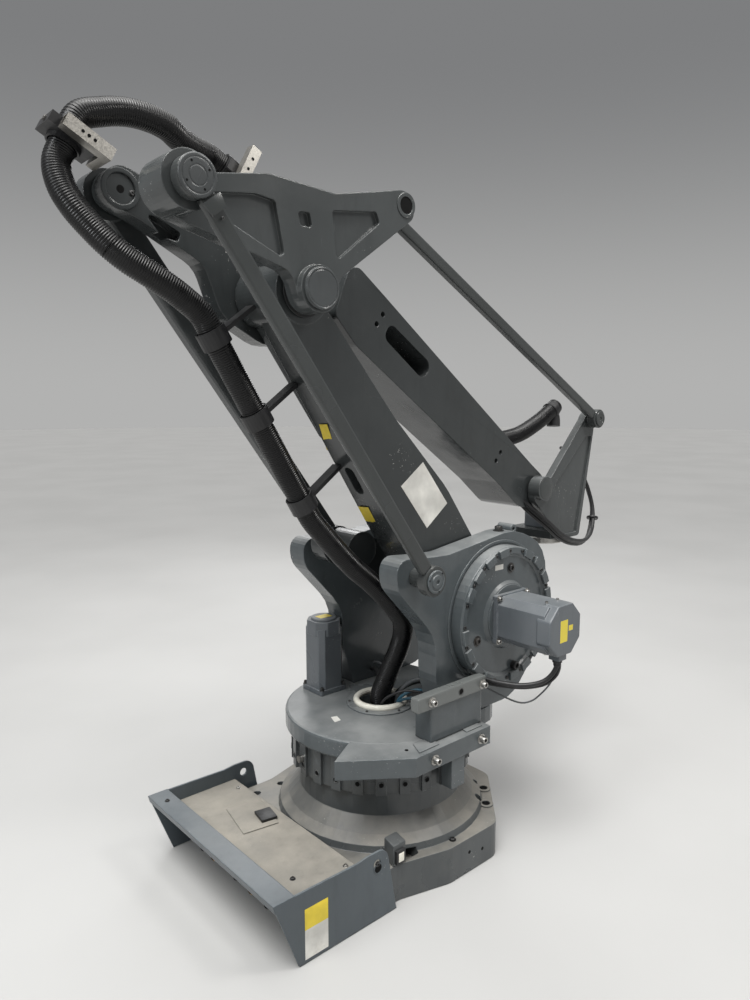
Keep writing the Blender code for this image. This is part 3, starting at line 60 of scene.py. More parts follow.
upper_arm_length = 1.350
crank_length = 0.475
crank_offset = 0.015
lower_arm_lean = radians(36.5)
upper_arm_dip = radians(28.3)
link_left_reach = Vector((-0.405, 0, 0.191))
link_right_reach = Vector((0.331, 0, 0.269))

# Skeleton of the arm as it stands
upper_along = Vector((cos(upper_arm_dip), 0, -sin(upper_arm_dip)))
upper_height = Vector((sin(upper_arm_dip), 0, cos(upper_arm_dip)))
lower_along = Vector((-sin(lower_arm_lean), 0, cos(lower_arm_lean)))
lower_across = Vector((cos(lower_arm_lean), 0, sin(lower_arm_lean)))
axis_2 = Vector((0.300, 0, 0.800))
elbow = axis_2 + lower_along * lower_arm_length
wrist = elbow + upper_along * upper_arm_length
rear_boss = elbow - upper_along * crank_length + upper_height * crank_offset
link_left = elbow + link_left_reach
link_right = elbow + link_right_reach
rod_foot = axis_2 + link_left_reach
rod_top = wrist + link_right_reach

# Camera, solved from the photograph
camera_place = (-1.710, -1.891, 1.539)
camera_dip = 0.1344
camera_heading = -0.7276
camera_lens = 26.907


def make_camera():
    """Camera at the photograph's place."""
    data = bpy.data.cameras.new("camera")
    data.sensor_width = 36
    data.lens = camera_lens
    data.clip_start = 0.05
    data.clip_end = 200
    item = bpy.data.objects.new("camera", data)
    item.location = camera_place
    item.rotation_euler = (pi / 2 - camera_dip, 0, camera_heading)
    bpy.context.scene.collection.objects.link(item)
    bpy.context.scene.camera = item


make_camera()


# Nodes of materials
def add(tree, kind, inputs=None, **settings):
    """Add a node with its settings and inputs, each a value or another node's output."""
    made = tree.nodes.new(kind)
    for key, value in settings.items():
        setattr(made, key, value)
    for key, value in (inputs or {}).items():
        socket = made.inputs[key]
        if isinstance(value, bpy.types.NodeSocket):
            tree.links.new(value, socket)
        else:
            socket.default_value = value
    return made


def noise(tree, vector, scale, detail=3.0, rough=0.5):
    return add(tree, "ShaderNodeTexNoise", {"Vector": vector, "Scale": scale, "Detail": detail,
                                            "Roughness": rough}).outputs["Fac"]


def ramp(tree, value, low, high, start=0.0, end=1.0):
    """Smooth step of a value from low to high."""
    return add(tree, "ShaderNodeMapRange", {
        "Value": value, "From Min": low, "From Max": high, "To Min": start, "To Max": end},
        interpolation_type="SMOOTHSTEP").outputs["Result"]


def calc(tree, operation, first, second):
    return add(tree, "ShaderNodeMath", {0: first, 1: second}, operation=operation).outputs[0]


def blend_colour(tree, share, first, second):
    """Colour from first to second by a share."""
    made = add(tree, "ShaderNodeMix", {0: share}, data_type="RGBA")
    for key, value in ((6, first), (7, second)):
        if isinstance(value, bpy.types.NodeSocket):
            tree.links.new(value, made.inputs[key])
        else:
            made.inputs[key].default_value = (*value[:3], 1)
    return made.outputs[2]


def scaled(colour, factor):
    return tuple(min(1.0, part * factor) for part in colour)


def stretched(tree, vector, scale, turn=(0, 0, 0)):
    return add(tree, "ShaderNodeMapping", {"Vector": vector, "Scale": scale,
                                           "Rotation": turn}).outputs["Vector"]


def new_tree(name, **sockets):
    """Material with its node tree, shader and object coordinates."""
    made = bpy.data.materials.new(name)
    made.use_nodes = True
    tree = made.node_tree
    shader = tree.nodes["Principled BSDF"]
    for key, value in sockets.items():
        shader.inputs[key.replace("_", " ")].default_value = value
    place = add(tree, "ShaderNodeTexCoord")
    return made, tree, shader, place


# grey of dust on top faces, toned also as a painted reflection of the light from above
dust_and_reflection_colour = (0.325, 0.333, 0.330)
dirt_colour = (0.350, 0.325, 0.280)
chip_colour = (0.55, 0.55, 0.53)
stain_colour = (0.10, 0.085, 0.07)
yellow_paint = (0.74, 0.60, 0.05)


def painted(name, colour, dust=0.5, gloss=0.30, chips=0.5, grime=0.4, dust_scale=4.0,
            rubbed_and_highlit_edges=True, top_dust_and_reflection=dust_and_reflection_colour):
    """Glossy machine paint on a casting: tone, dust on top with a painted reflection in its grey,
    edges lighter as rubbed wear and a painted highlight, scratches and chips.
    """
    made, tree, shader, place = new_tree(name)
    at = place.outputs["Object"]
    shader.inputs["Specular IOR Level"].default_value = 0.5
    tone = noise(tree, at, 2.3, 4.0)
    base = blend_colour(tree, ramp(tree, tone, 0.30, 0.70), scaled(colour, 0.88),
                        scaled(colour, 1.10))
    smear = noise(tree, stretched(tree, at, (9, 9, 1.6)), 3.0, 5.0, 0.65)
    base = blend_colour(tree, ramp(tree, smear, 0.48, 0.75, 0, grime * 0.55), base,
                        scaled(colour, 0.50))
    # dust lies on what faces up, thicker where the air is still; in the default grey it is partly a
    # painted reflection of the light from above
    up = add(tree, "ShaderNodeSeparateXYZ", {0: place.outputs["Normal"]}).outputs["Z"]
    cloud = noise(tree, at, dust_scale, 6.0, 0.62)
    settle = calc(tree, "MULTIPLY", ramp(tree, up, 0.25, 0.97),
                  ramp(tree, cloud, 0.30, 0.72, 0.25, 1.0))
    settle = calc(tree, "MULTIPLY", settle, dust)
    film = calc(tree, "MULTIPLY", ramp(tree, noise(tree, at, 11.0, 5.0, 0.7), 0.42, 0.80),
                dust * 0.09)
    cover = calc(tree, "MAXIMUM", settle, film)
    base = blend_colour(tree, cover, base, top_dust_and_reflection)
    swell = {"Strength": 0.22, "Distance": 0.004, "Height": noise(tree, at, 16.0, 2.0)}
    # edges lighter in the paint's own hue: partly rubbed wear, partly a painted highlight along
    # every edge
    if rubbed_and_highlit_edges:
        soft = add(tree, "ShaderNodeBevel", {"Radius": 0.0045}, samples=6).outputs["Normal"]
        flat = add(tree, "ShaderNodeNewGeometry").outputs["Normal"]
        facing = add(tree, "ShaderNodeVectorMath", {0: soft, 1: flat},
                     operation="DOT_PRODUCT").outputs["Value"]
        edge = calc(tree, "MULTIPLY", ramp(tree, facing, 0.985, 0.86),
                    ramp(tree, noise(tree, at, 26.0, 4.0, 0.7), 0.42, 0.66, 0.10, 0.85))
        base = blend_colour(tree, calc(tree, "MULTIPLY", edge, 0.60), base,
                            scaled(colour, 3.2))
        swell["Normal"] = soft
    # fine scratches in patches, and small chips
    lines = noise(tree, stretched(tree, at, (160, 7, 9), (0.5, 0.3, 0.6)), 1.0, 2.0)
    worn = ramp(tree, noise(tree, at, 3.1, 2.0), 0.50, 0.66)
    scratch = calc(tree, "MULTIPLY", ramp(tree, lines, 0.70, 0.76), worn)
    base = blend_colour(tree, calc(tree, "MULTIPLY", scratch, chips * 0.9), base,
                        scaled(colour, 2.0))
    spots = ramp(tree, noise(tree, at, 150.0, 1.0), 0.70, 0.73)
    where = ramp(tree, noise(tree, at, 5.0, 3.0), 0.56, 0.68, 0, chips)
    base = blend_colour(tree, calc(tree, "MULTIPLY", spots, where), base, chip_colour)
    tree.links.new(base, shader.inputs["Base Color"])
    rough = ramp(tree, noise(tree, at, 6.0, 1.5, 0.5), 0.30, 0.72, gloss, gloss + 0.14)
    rough = calc(tree, "ADD", rough, calc(tree, "MULTIPLY", cover, 0.45))
    tree.links.new(rough, shader.inputs["Roughness"])
    wave = add(tree, "ShaderNodeBump", swell).outputs["Normal"]
    peel = add(tree, "ShaderNodeBump", {"Strength": 0.12, "Distance": 0.0005, "Height": noise(
        tree, at, 210.0, 2.0), "Normal": wave}).outputs["Normal"] if rubbed_and_highlit_edges else wave
    tree.links.new(peel, shader.inputs["Normal"])
    return made


def metal(name, colour, rough, along=(4, 4, 120), stain=0.4):
    """Machined or drawn metal with fine lines and stains."""
    made, tree, shader, place = new_tree(name, Metallic=1.0)
    at = place.outputs["Object"]
    lines = noise(tree, stretched(tree, at, along), 6.0, 5.0, 0.6)
    base = blend_colour(tree, ramp(tree, lines, 0.3, 0.7), scaled(colour, 0.78),
                        scaled(colour, 1.15))
    dirt = ramp(tree, noise(tree, at, 21.0, 6.0, 0.65), 0.50, 0.72, 0, stain)
    base = blend_colour(tree, dirt, base, stain_colour)
    tree.links.new(base, shader.inputs["Base Color"])
    tree.links.new(calc(tree, "ADD", ramp(tree, lines, 0.3, 0.7, rough, rough + 0.16),
                        calc(tree, "MULTIPLY", dirt, 0.4)), shader.inputs["Roughness"])
    bump = add(tree, "ShaderNodeBump", {"Strength": 0.15, "Distance": 0.0004, "Height": lines})
    tree.links.new(bump.outputs["Normal"], shader.inputs["Normal"])
    return made


plastic_grain = 420.0


def plastic(name, colour, rough, dust=0.3, dirt=0.3, marked=(0.22, 0.20, 0.17)):
    """Moulded plastic or rubber with grain, dust on top (its grey partly a painted reflection of
    overhead light) and hand marks.
    """
    made, tree, shader, place = new_tree(name)
    at = place.outputs["Object"]
    base = blend_colour(tree, ramp(tree, noise(tree, at, 9.0, 4.0), 0.3, 0.7),
                        scaled(colour, 0.80), scaled(colour, 1.25))
    up = add(tree, "ShaderNodeSeparateXYZ", {0: place.outputs["Normal"]}).outputs["Z"]
    cover = calc(tree, "MULTIPLY", ramp(tree, up, 0.2, 1.0),
                 ramp(tree, noise(tree, at, 7.0, 6.0, 0.65), 0.38, 0.72, 0, dust))
    marks = ramp(tree, noise(tree, at, 15.0, 6.0, 0.7), 0.52, 0.76, 0, dirt)
    base = blend_colour(tree, marks, base, marked)
    base = blend_colour(tree, cover, base, dust_and_reflection_colour)
    tree.links.new(base, shader.inputs["Base Color"])
    tree.links.new(calc(tree, "ADD", ramp(tree, noise(tree, at, 30.0, 3.0), 0.3, 0.7, rough,
                                          rough + 0.14),
                        calc(tree, "MULTIPLY", cover, 0.35)), shader.inputs["Roughness"])
    bump = add(tree, "ShaderNodeBump", {"Strength": 0.12, "Distance": 0.0003,
                                        "Height": noise(tree, at, plastic_grain, 2.0)})
    tree.links.new(bump.outputs["Normal"], shader.inputs["Normal"])
    return made


paint_base = painted("paint_base", (0.070, 0.077, 0.080), dust=0.72, gloss=0.24, grime=0.5,
                     top_dust_and_reflection=dirt_colour)
paint_turret = painted("paint_turret", (0.076, 0.088, 0.094), dust=0.66, gloss=0.13)
paint_arm = painted("paint_arm", (0.036, 0.040, 0.041), dust=0.16, gloss=0.14, chips=0.6)
paint_link = painted("paint_link", (0.056, 0.061, 0.062), dust=0.22, gloss=0.12, chips=0.5)
paint_rod = painted("paint_rod", (0.044, 0.048, 0.048), dust=0.12, gloss=0.16, chips=0.0,
                    rubbed_and_highlit_edges=False)
paint_motor = painted("paint_motor", (0.110, 0.123, 0.136), dust=0.42, gloss=0.20, chips=0.2)
paint_cap = painted("paint_cap", (0.056, 0.061, 0.063), dust=0.20, gloss=0.18, chips=0.1)
paint_cover = painted("paint_cover", (0.072, 0.088, 0.100), dust=0.26, gloss=0.28, grime=0.6)
sheet_dusty = painted("sheet_dusty", (0.190, 0.182, 0.162), dust=0.72, gloss=0.55, chips=0.2,
                      grime=0.9, dust_scale=6.0, top_dust_and_reflection=dirt_colour)
steel = metal("steel", (0.44, 0.43, 0.41), 0.26)
nickel = metal("nickel", (0.40, 0.385, 0.355), 0.30, along=(60, 60, 60), stain=0.25)
steel_dark = metal("steel_dark", (0.10, 0.10, 0.10), 0.36, stain=0.5)
brass_dull = metal("brass_dull", (0.42, 0.31, 0.19), 0.40, stain=0.6)
hose_black = plastic("hose_black", (0.0045, 0.0045, 0.005), 0.25, dust=0.02, dirt=0.04,
                     marked=(0.02, 0.02, 0.02))
rubber_black = plastic("rubber_black", (0.012, 0.012, 0.013), 0.40, dust=0.12, dirt=0.15,
                       marked=(0.07, 0.07, 0.065))
clamp_black = plastic("clamp_black", (0.009, 0.009, 0.010), 0.36, dust=0.10, dirt=0.08,
                      marked=(0.05, 0.05, 0.045))
cable_grey = plastic("cable_grey", (0.085, 0.090, 0.095), 0.44, dust=0.35, dirt=0.4)
cable_blue = plastic("cable_blue", (0.020, 0.085, 0.130), 0.42, dust=0.30, dirt=0.3)
ring_white = plastic("ring_white", (0.74, 0.72, 0.64), 0.30, dust=0.45, dirt=0.42,
                     marked=(0.34, 0.29, 0.20))
# near-black and nearly without reflection: painted shade standing in for the dark inside of bores
bore_shade_black = plastic("bore_shade_black", (0.006, 0.006, 0.006), 0.70, dust=0.0, dirt=0.1,
                      marked=(0.02, 0.02, 0.02))
sticker_yellow = plastic("sticker_yellow", (0.78, 0.60, 0.04), 0.36, dust=0.1, dirt=0.30,
                         marked=(0.40, 0.32, 0.10))
sticker_white = plastic("sticker_white", (0.66, 0.65, 0.61), 0.38, dust=0.1, dirt=0.35,
                        marked=(0.36, 0.34, 0.30))

for material, shine in ((hose_black, 0.36), (bore_shade_black, 0.1)):
    shader = material.node_tree.nodes["Principled BSDF"]
    shader.inputs["Specular IOR Level"].default_value = shine


def sticker(material, name, centre, half, colour):
    """Blank sticker as a patch in a node's paint: a box in the row frame."""
    tree = material.node_tree
    socket = tree.nodes["Principled BSDF"].inputs["Base Color"]
    middle = nodes[name].matrix_world.inverted() @ Vector(centre)
    away = add(tree, "ShaderNodeVectorMath", {
        0: add(tree, "ShaderNodeTexCoord").outputs["Object"], 1: middle}, operation="SUBTRACT")
    away = add(tree, "ShaderNodeVectorMath", {0: away.outputs[0]}, operation="ABSOLUTE")
    parts = add(tree, "ShaderNodeSeparateXYZ", {0: away.outputs[0]})
    mask = 1.0
    for axis, reach in enumerate(half):
        mask = calc(tree, "MULTIPLY", calc(tree, "LESS_THAN", parts.outputs[axis], reach), mask)
    tree.links.new(blend_colour(tree, mask, socket.links[0].from_socket, colour), socket)


paint_bar = paint_turret.copy()
paint_bar.name = "paint_bar"
sticker(paint_bar, "stop_bar", (-0.013, -0.320, 0.612), (0.2, 0.1, 0.027), (0.125, 0.133, 0.130))
paint_motor_near = paint_motor.copy()
paint_motor_near.name = "paint_motor_near"
for centre, half in (((0.292, -0.558, 0.7975), (0.020, 0.006, 0.0365)),
                     ((0.3295, -0.558, 0.803), (0.0115, 0.006, 0.009))):
    sticker(paint_motor_near, "axis_2_motor", centre, half, yellow_paint)

node_materials = {
    paint_base: ("base_casting", "stop_ring"),
    paint_cover: ("rear_cover",),
    sheet_dusty: ("connector_box", "tray_cover"),
    paint_link.copy(): ("tilt_housing",),
    paint_turret: ("turntable", "near_side_frame", "far_side_frame", "axis_2_gearbox",
                   "axis_3_gearbox"),
    paint_bar: ("stop_bar",),
    paint_motor: ("axis_1_motor", "axis_3_motor", "axis_6_motor"),
    paint_motor_near: ("axis_2_motor",),
    paint_arm: ("lower_arm", "upper_arm", "crank", "parallel_rod"),
    paint_link: ("elbow_link",),
    paint_rod: ("lower_link_rod", "upper_link_rod"),
    paint_cap: ("elbow_cap",),
    steel: ("connector_panel", "stop_pin", "elbow_shaft", "link_pin_left", "link_pin_right",
            "rear_pin", "crank_pin", "wrist_pin", "wrist_top_pin", "tool_flange"),
    paint_rod.copy(): ("frame_link_pin",),
    ring_white: ("cable_ring",),
    clamp_black: ("hose_clamp_low", "hose_clamp_middle", "hose_clamp_high", "hose_clamp_rear",
                  "hose_clamp_top", "hose_clamp_far", "hose_clamp_front"),
    nickel: ("hose_bracket_rear", "hose_bracket_top"),
    hose_black: ("hose_base_loop", "hose_lower_arm", "hose_rear_riser", "hose_upper_arm"),
}
for material, names in node_materials.items():
    for name in names:
        for slot in nodes[name].material_slots:
            slot.material = material


# Pieces
def piece(name, shape, material, body, angle=0.6):
    """Object from a bmesh in the row frame, riding on a body."""
    mesh = bpy.data.meshes.new(name)
    bmesh.ops.recalc_face_normals(shape, faces=shape.faces)
    shape.to_mesh(mesh)
    shape.free()
    mesh.materials.append(material)
    item = bpy.data.objects.new(name, mesh)
    bpy.context.scene.collection.objects.link(item)
    mesh.shade_smooth()
    mesh.set_sharp_from_angle(angle=angle)
    if body:
        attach(item, body)
    return item


def facing_matrix(place, direction, roll=0.0):
    """Matrix that puts +Z along a direction at a place."""
    turn = Vector(direction).normalized().to_track_quat("Z", "Y").to_matrix().to_4x4()
    return Matrix.Translation(Vector(place)) @ turn @ Matrix.Rotation(roll, 4, "Z")


def seat(name, place, direction, reach=0.15):
    """Point where a line from outside meets a CAD node's surface."""
    item = nodes[name]
    back = item.matrix_world.inverted()
    found, spot = item.ray_cast(back @ (Vector(place) + direction * reach),
                                back.to_3x3() @ -direction)[:2]
    return item.matrix_world @ spot if found else Vector(place)


def skin(shape, loops, capped=True):
    """Faces between following loops of points, and over the first and the last."""
    for low, high in zip(loops, loops[1:]):
        for k in range(len(low)):
            after = (k + 1) % len(low)
            shape.faces.new((low[k], low[after], high[after], high[k]))
    if capped:
        shape.faces.new(loops[0][::-1])
        shape.faces.new(loops[-1])


def rings_into(shape, matrix, rings, steps):
    """Loft closed rings; a ring is (radius, height) or (radius, height, sides) for a polygon."""
    made = []
    for ring in rings:
        radius, height = ring[:2]
        sides = ring[2] if len(ring) > 2 else 0
        loop = []
        for step in range(steps):
            angle = 2 * pi * step / steps
            reach = radius
            if sides:
                part = 2 * pi / sides
                reach = radius * cos(part / 2) / cos((angle % part) - part / 2)
            loop.append(shape.verts.new(matrix @ Vector((reach * cos(angle), reach * sin(angle),
                                                         height))))
        made.append(loop)
    skin(shape, made)


def cap_screw(radius, height, washer=True):
    """Rings of a socket cap screw, with its washer."""
    rings = []
    foot = 0.0
    if washer:
        foot = height * 0.16
        rings = [(radius * 1.45, 0.0), (radius * 1.45, foot * 0.8), (radius * 1.38, foot)]
    return rings + [(radius, foot), (radius, height * 0.84), (radius * 0.88, height),
                    (radius * 0.60, height, 6), (radius * 0.56, height * 0.45, 6)]


def hex_bolt(radius, height):
    """Rings of a hexagon head on its washer."""
    foot = height * 0.18
    return [(radius * 1.35, 0.0), (radius * 1.35, foot), (radius, foot, 6),
            (radius, height * 0.86, 6), (radius * 0.80, height)]


def screws(name, places, radius, height, body, material=steel, washer=True, kind=cap_screw):
    """Several screws as one piece; places are (place, direction)."""
    shape = bmesh.new()
    for index, (place, direction) in enumerate(places):
        rings = hex_bolt(radius, height) if kind is hex_bolt else cap_screw(radius, height, washer)
        rings_into(shape, facing_matrix(place, direction, 0.37 * index), rings, 24)
    return piece(name, shape, material, body)


def turned(name, place, direction, rings, material, body, steps=48):
    """Round piece from (radius, height) rings."""
    shape = bmesh.new()
    rings_into(shape, facing_matrix(place, direction), rings, steps)
    return piece(name, shape, material, body, angle=0.5)


def holes(name, places, radius, body, material=bore_shade_black, lift=0.0004):
    """Painted shade of bores: near-black thin discs a hair above the face, in place of the shaded
    inside of holes.
    """
    shape = bmesh.new()
    for place, direction in places:
        rings_into(shape, facing_matrix(place, direction), [(radius, -0.0006), (radius, lift)], 20)
    return piece(name, shape, material, body)


def washer_ring(name, places, inner, outer, height, material, body, steps=32):
    """Rims round holes: rings with an open middle."""
    shape = bmesh.new()
    for place, direction in places:
        matrix = facing_matrix(place, direction)
        loops = []
        for radius, level in ((outer, 0.0), (outer, height * 0.7), (outer - height * 0.3, height),
                              (inner + height * 0.3, height), (inner, height * 0.7),
                              (inner, 0.0)):
            loops.append([shape.verts.new(matrix @ Vector((radius * cos(2 * pi * k / steps),
                                                           radius * sin(2 * pi * k / steps),
                                                           level))) for k in range(steps)])
        skin(shape, loops + loops[:1], capped=False)
    return piece(name, shape, material, body)


def slab_piece(name, corners, direction, thickness, material, body, round_off=0.0):
    """Flat plate from corner points, thickened along a direction, with its edges broken."""
    shape = bmesh.new()
    push = Vector(direction).normalized() * thickness
    low = [shape.verts.new(Vector(corner)) for corner in corners]
    high = [shape.verts.new(Vector(corner) + push) for corner in corners]
    shape.faces.new(low[::-1])
    shape.faces.new(high)
    skin(shape, [low, high], capped=False)
    if round_off:
        bmesh.ops.recalc_face_normals(shape, faces=shape.faces)
        bmesh.ops.bevel(shape, geom=list(shape.edges), offset=round_off, segments=2,
                        profile=0.6, affect="EDGES")
    return piece(name, shape, material, body, angle=0.7)


def fine_route(points, spacing):
    """Even points of a smooth curve through a polyline."""
    places = [Vector(point) for point in points]
    padded = [2 * places[0] - places[1]] + places + [2 * places[-1] - places[-2]]
    fine = []
    for index in range(1, len(padded) - 2):
        before, start, end, after = padded[index - 1:index + 3]
        steps = max(2, round(4 * (end - start).length / spacing))
        for step in range(steps):
            share = step / steps
            fine.append(0.5 * (2 * start + (end - before) * share
                               + (2 * before - 5 * start + 4 * end - after) * share ** 2
                               + (3 * start - before - 3 * end + after) * share ** 3))
    fine.append(places[-1])
    lengths = [0.0]
    for a, b in zip(fine, fine[1:]):
        lengths.append(lengths[-1] + (b - a).length)
    count = max(2, round(lengths[-1] / spacing))
    route = []
    index = 0
    for step in range(count + 1):
        wanted = lengths[-1] * step / count
        while index < len(fine) - 2 and lengths[index + 1] < wanted:
            index += 1
        span = max(1e-9, lengths[index + 1] - lengths[index])
        route.append(fine[index].lerp(fine[index + 1], (wanted - lengths[index]) / span))
    return route


def frames_along(route):
    """Turn-free side directions along a route."""
    side = None
    found = []
    for index, point in enumerate(route):
        ahead = route[min(index + 1, len(route) - 1)] - route[max(index - 1, 0)]
        ahead.normalize()
        if side is None:
            side = ahead.orthogonal().normalized()
        side = (side - ahead * side.dot(ahead)).normalized()
        found.append((point, side.copy(), ahead.cross(side)))
    return found


def round_loop(shape, point, side, third, radius, sides):
    """Points of a circle round a route."""
    return [shape.verts.new(point + (side * cos(2 * pi * k / sides)
                                     + third * sin(2 * pi * k / sides)) * radius)
            for k in range(sides)]


hose_pitch = 0.0064
hose_outer = 0.0350
hose_inner = 0.0335
hose_tuck = 0.0006
hose_profile = ((0.0, hose_outer), (0.34, hose_outer), (0.50, hose_inner), (0.84, hose_inner))


def corrugated(name, points, start=0.0, end=1.0, sides=22):
    """Hose with ring corrugations along part of a route, one closed mesh with no body yet."""
    count = max(2, round(sum((Vector(b) - Vector(a)).length
                             for a, b in zip(points, points[1:])) / hose_pitch))
    cells = fine_route(points, hose_pitch / 4)
    found = frames_along(cells)
    shape = bmesh.new()
    loops = []
    first_ring = round(count * start)
    for ring in range(first_ring, round(count * end)):
        for share, radius in hose_profile:
            if start and ring == first_ring:
                radius = hose_inner - hose_tuck
            where = (ring + share) / count * (len(found) - 1)
            index = min(int(where), len(found) - 2)
            rest = where - index
            point = found[index][0].lerp(found[index + 1][0], rest)
            loops.append(round_loop(shape, point, *found[index][1:], radius, sides))
    skin(shape, loops)
    return piece(name, shape, hose_black, None, angle=1.2)


def strand(name, points, radius, material, body, spacing=0.012, sides=10):
    """Round cable along a route."""
    shape = bmesh.new()
    found = frames_along(fine_route(points, spacing))
    skin(shape, [round_loop(shape, *across, radius, sides) for across in found])
    return piece(name, shape, material, body, angle=1.2)


# Corrugated hose, on the routes of its CAD solids
base_loop = [
    (0, 0, 0.43), (-0.001, 0.002, 0.49), (0.011, -0.013, 0.548), (0.025, -0.03, 0.604),
    (0.039, -0.048, 0.661), (0.044, -0.065, 0.718), (0.03, -0.08, 0.775), (-0.005, -0.084, 0.824),
    (-0.046, -0.085, 0.869), (-0.089, -0.086, 0.911), (-0.134, -0.083, 0.952),
    (-0.18, -0.078, 0.991), (-0.223, -0.073, 1.034), (-0.264, -0.068, 1.079),
    (-0.304, -0.064, 1.124), (-0.343, -0.06, 1.17), (-0.377, -0.06, 1.227),
]
along_lower_arm = [(-0.377, -0.06, 1.227), (-0.520, -0.06, 1.4655), (-0.664, -0.06, 1.704)]
rear_riser = [
    (-0.664, -0.06, 1.704), (-0.698, -0.06, 1.76), (-0.743, -0.059, 1.796),
    (-0.791, -0.056, 1.827), (-0.84, -0.047, 1.856), (-0.888, -0.035, 1.885),
    (-0.931, -0.021, 1.921), (-0.967, -0.004, 1.962), (-0.998, 0.014, 2.006),
    (-1.017, 0.034, 2.056), (-1.018, 0.048, 2.111), (-0.992, 0.048, 2.169),
]
along_upper_arm = [
    (-0.991, 0.048, 2.169), (-0.96, 0.048, 2.227), (-0.904, 0.048, 2.251), (-0.844, 0.048, 2.2655),
    (-0.782, 0.049, 2.2675), (-0.722, 0.059, 2.26), (-0.668, 0.086, 2.246), (-0.612, 0.111, 2.238),
    (-0.553, 0.13, 2.234), (-0.495, 0.13, 2.203), (-0.437, 0.13, 2.171), (-0.399, 0.135, 2.127),
    (-0.359, 0.137, 2.083), (-0.319, 0.138, 2.04), (-0.278, 0.139, 1.997), (-0.238, 0.14, 1.954),
    (-0.197, 0.14, 1.911), (-0.156, 0.14, 1.869), (-0.114, 0.14, 1.827), (-0.065, 0.14, 1.783),
    (-0.016, 0.14, 1.739), (0.033, 0.14, 1.702), (0.081, 0.14, 1.665), (0.129, 0.14, 1.627),
    (0.175, 0.14, 1.587), (0.222, 0.14, 1.548), (0.27, 0.14, 1.51), (0.321, 0.14, 1.477),
    (0.375, 0.14, 1.45), (0.437, 0.14, 1.427), (0.499, 0.14, 1.405), (0.558, 0.14, 1.386),
    (0.619, 0.14, 1.372), (0.68, 0.14, 1.367), (0.742, 0.14, 1.365), (0.804, 0.14, 1.367),
    (0.866, 0.14, 1.373), (0.927, 0.14, 1.383), (0.986, 0.14, 1.4), (1.044, 0.14, 1.423),
    (1.101, 0.14, 1.448), (1.155, 0.14, 1.477), (1.208, 0.14, 1.509),
]

# The riser is drawn in two pieces that meet in its middle
riser_split = 0.53
riser_overlap = 0.012


def dress_hose():
    """Corrugated hose in place of the plain CAD solids."""
    low = corrugated("hose_corrugated_base", base_loop)
    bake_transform(low)
    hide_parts("hose_base_loop")
    arm = corrugated("hose_corrugated_lower", along_lower_arm)
    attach(arm, "lower_arm")
    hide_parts("hose_lower_arm")
    first = corrugated("hose_corrugated_riser_low", rear_riser, end=riser_split)
    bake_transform(first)
    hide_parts("hose_rear_riser")
    second = corrugated("hose_corrugated_riser_high", rear_riser, start=riser_split - riser_overlap)
    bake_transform(second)
    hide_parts("hose_rear_riser")
    top = corrugated("hose_corrugated_upper", along_upper_arm)
    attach(top, "upper_arm")
    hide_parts("hose_upper_arm")


dress_hose()


# Screws, seals and caps
near = (0, -1, 0)
up = (0, 0, 1)

# Faces that small pieces sit on, a hair proud or sunk
hair = 0.0002
deck_z = 0.468
base_z = 0.120
tray_z = 0.165
bar_y = -0.362
cover_y = -0.372
rod_y = -0.365
ear_y = -0.388
gearbox_y = 0.326


def plan(z, *corners):
    """Corner points of a level outline from (x, y) pairs."""
    return [(x, y, z) for x, y in corners]


def upright(y, *corners):
    """Corner points of an outline in an XZ plane from (x, z) pairs."""
    return [(x, y, z) for x, z in corners]


def circle_places(centre, radius, count, y, direction, turn=0.0):
    """Places round a circle in an XZ plane."""
    return [((centre.x + radius * cos(turn + 2 * pi * k / count), y,
              centre.z + radius * sin(turn + 2 * pi * k / count)), direction)
            for k in range(count)]


def notched_ring(name, centre, side, body):
    """Raised lands between the screws of a gearbox ring."""
    shape = bmesh.new()
    y = gearbox_y * side
    count = 20
    for k in range(count):
        if k % 5 == 4:
            continue
        start = 2 * pi * (k + 0.17) / count
        end = 2 * pi * (k + 0.83) / count
        loop_low, loop_high = [], []
        arc = 5
        for radius, inset, order in ((0.2395, -0.0025, range(arc)),
                                     (0.2090, 0.0025, range(arc - 1, -1, -1))):
            for step in order:
                angle = start + (end - start) * step / (arc - 1)
                x, z = cos(angle), sin(angle)
                loop_low.append(shape.verts.new((centre.x + radius * x, y,
                                                 centre.z + radius * z)))
                loop_high.append(shape.verts.new((centre.x + (radius + inset) * x,
                                                  y + side * 0.009,
                                                  centre.z + (radius + inset) * z)))
        shape.faces.new(loop_low[::-1])
        shape.faces.new(loop_high)
        skin(shape, [loop_low, loop_high], capped=False)
    return piece(name, shape, paint_turret, body)


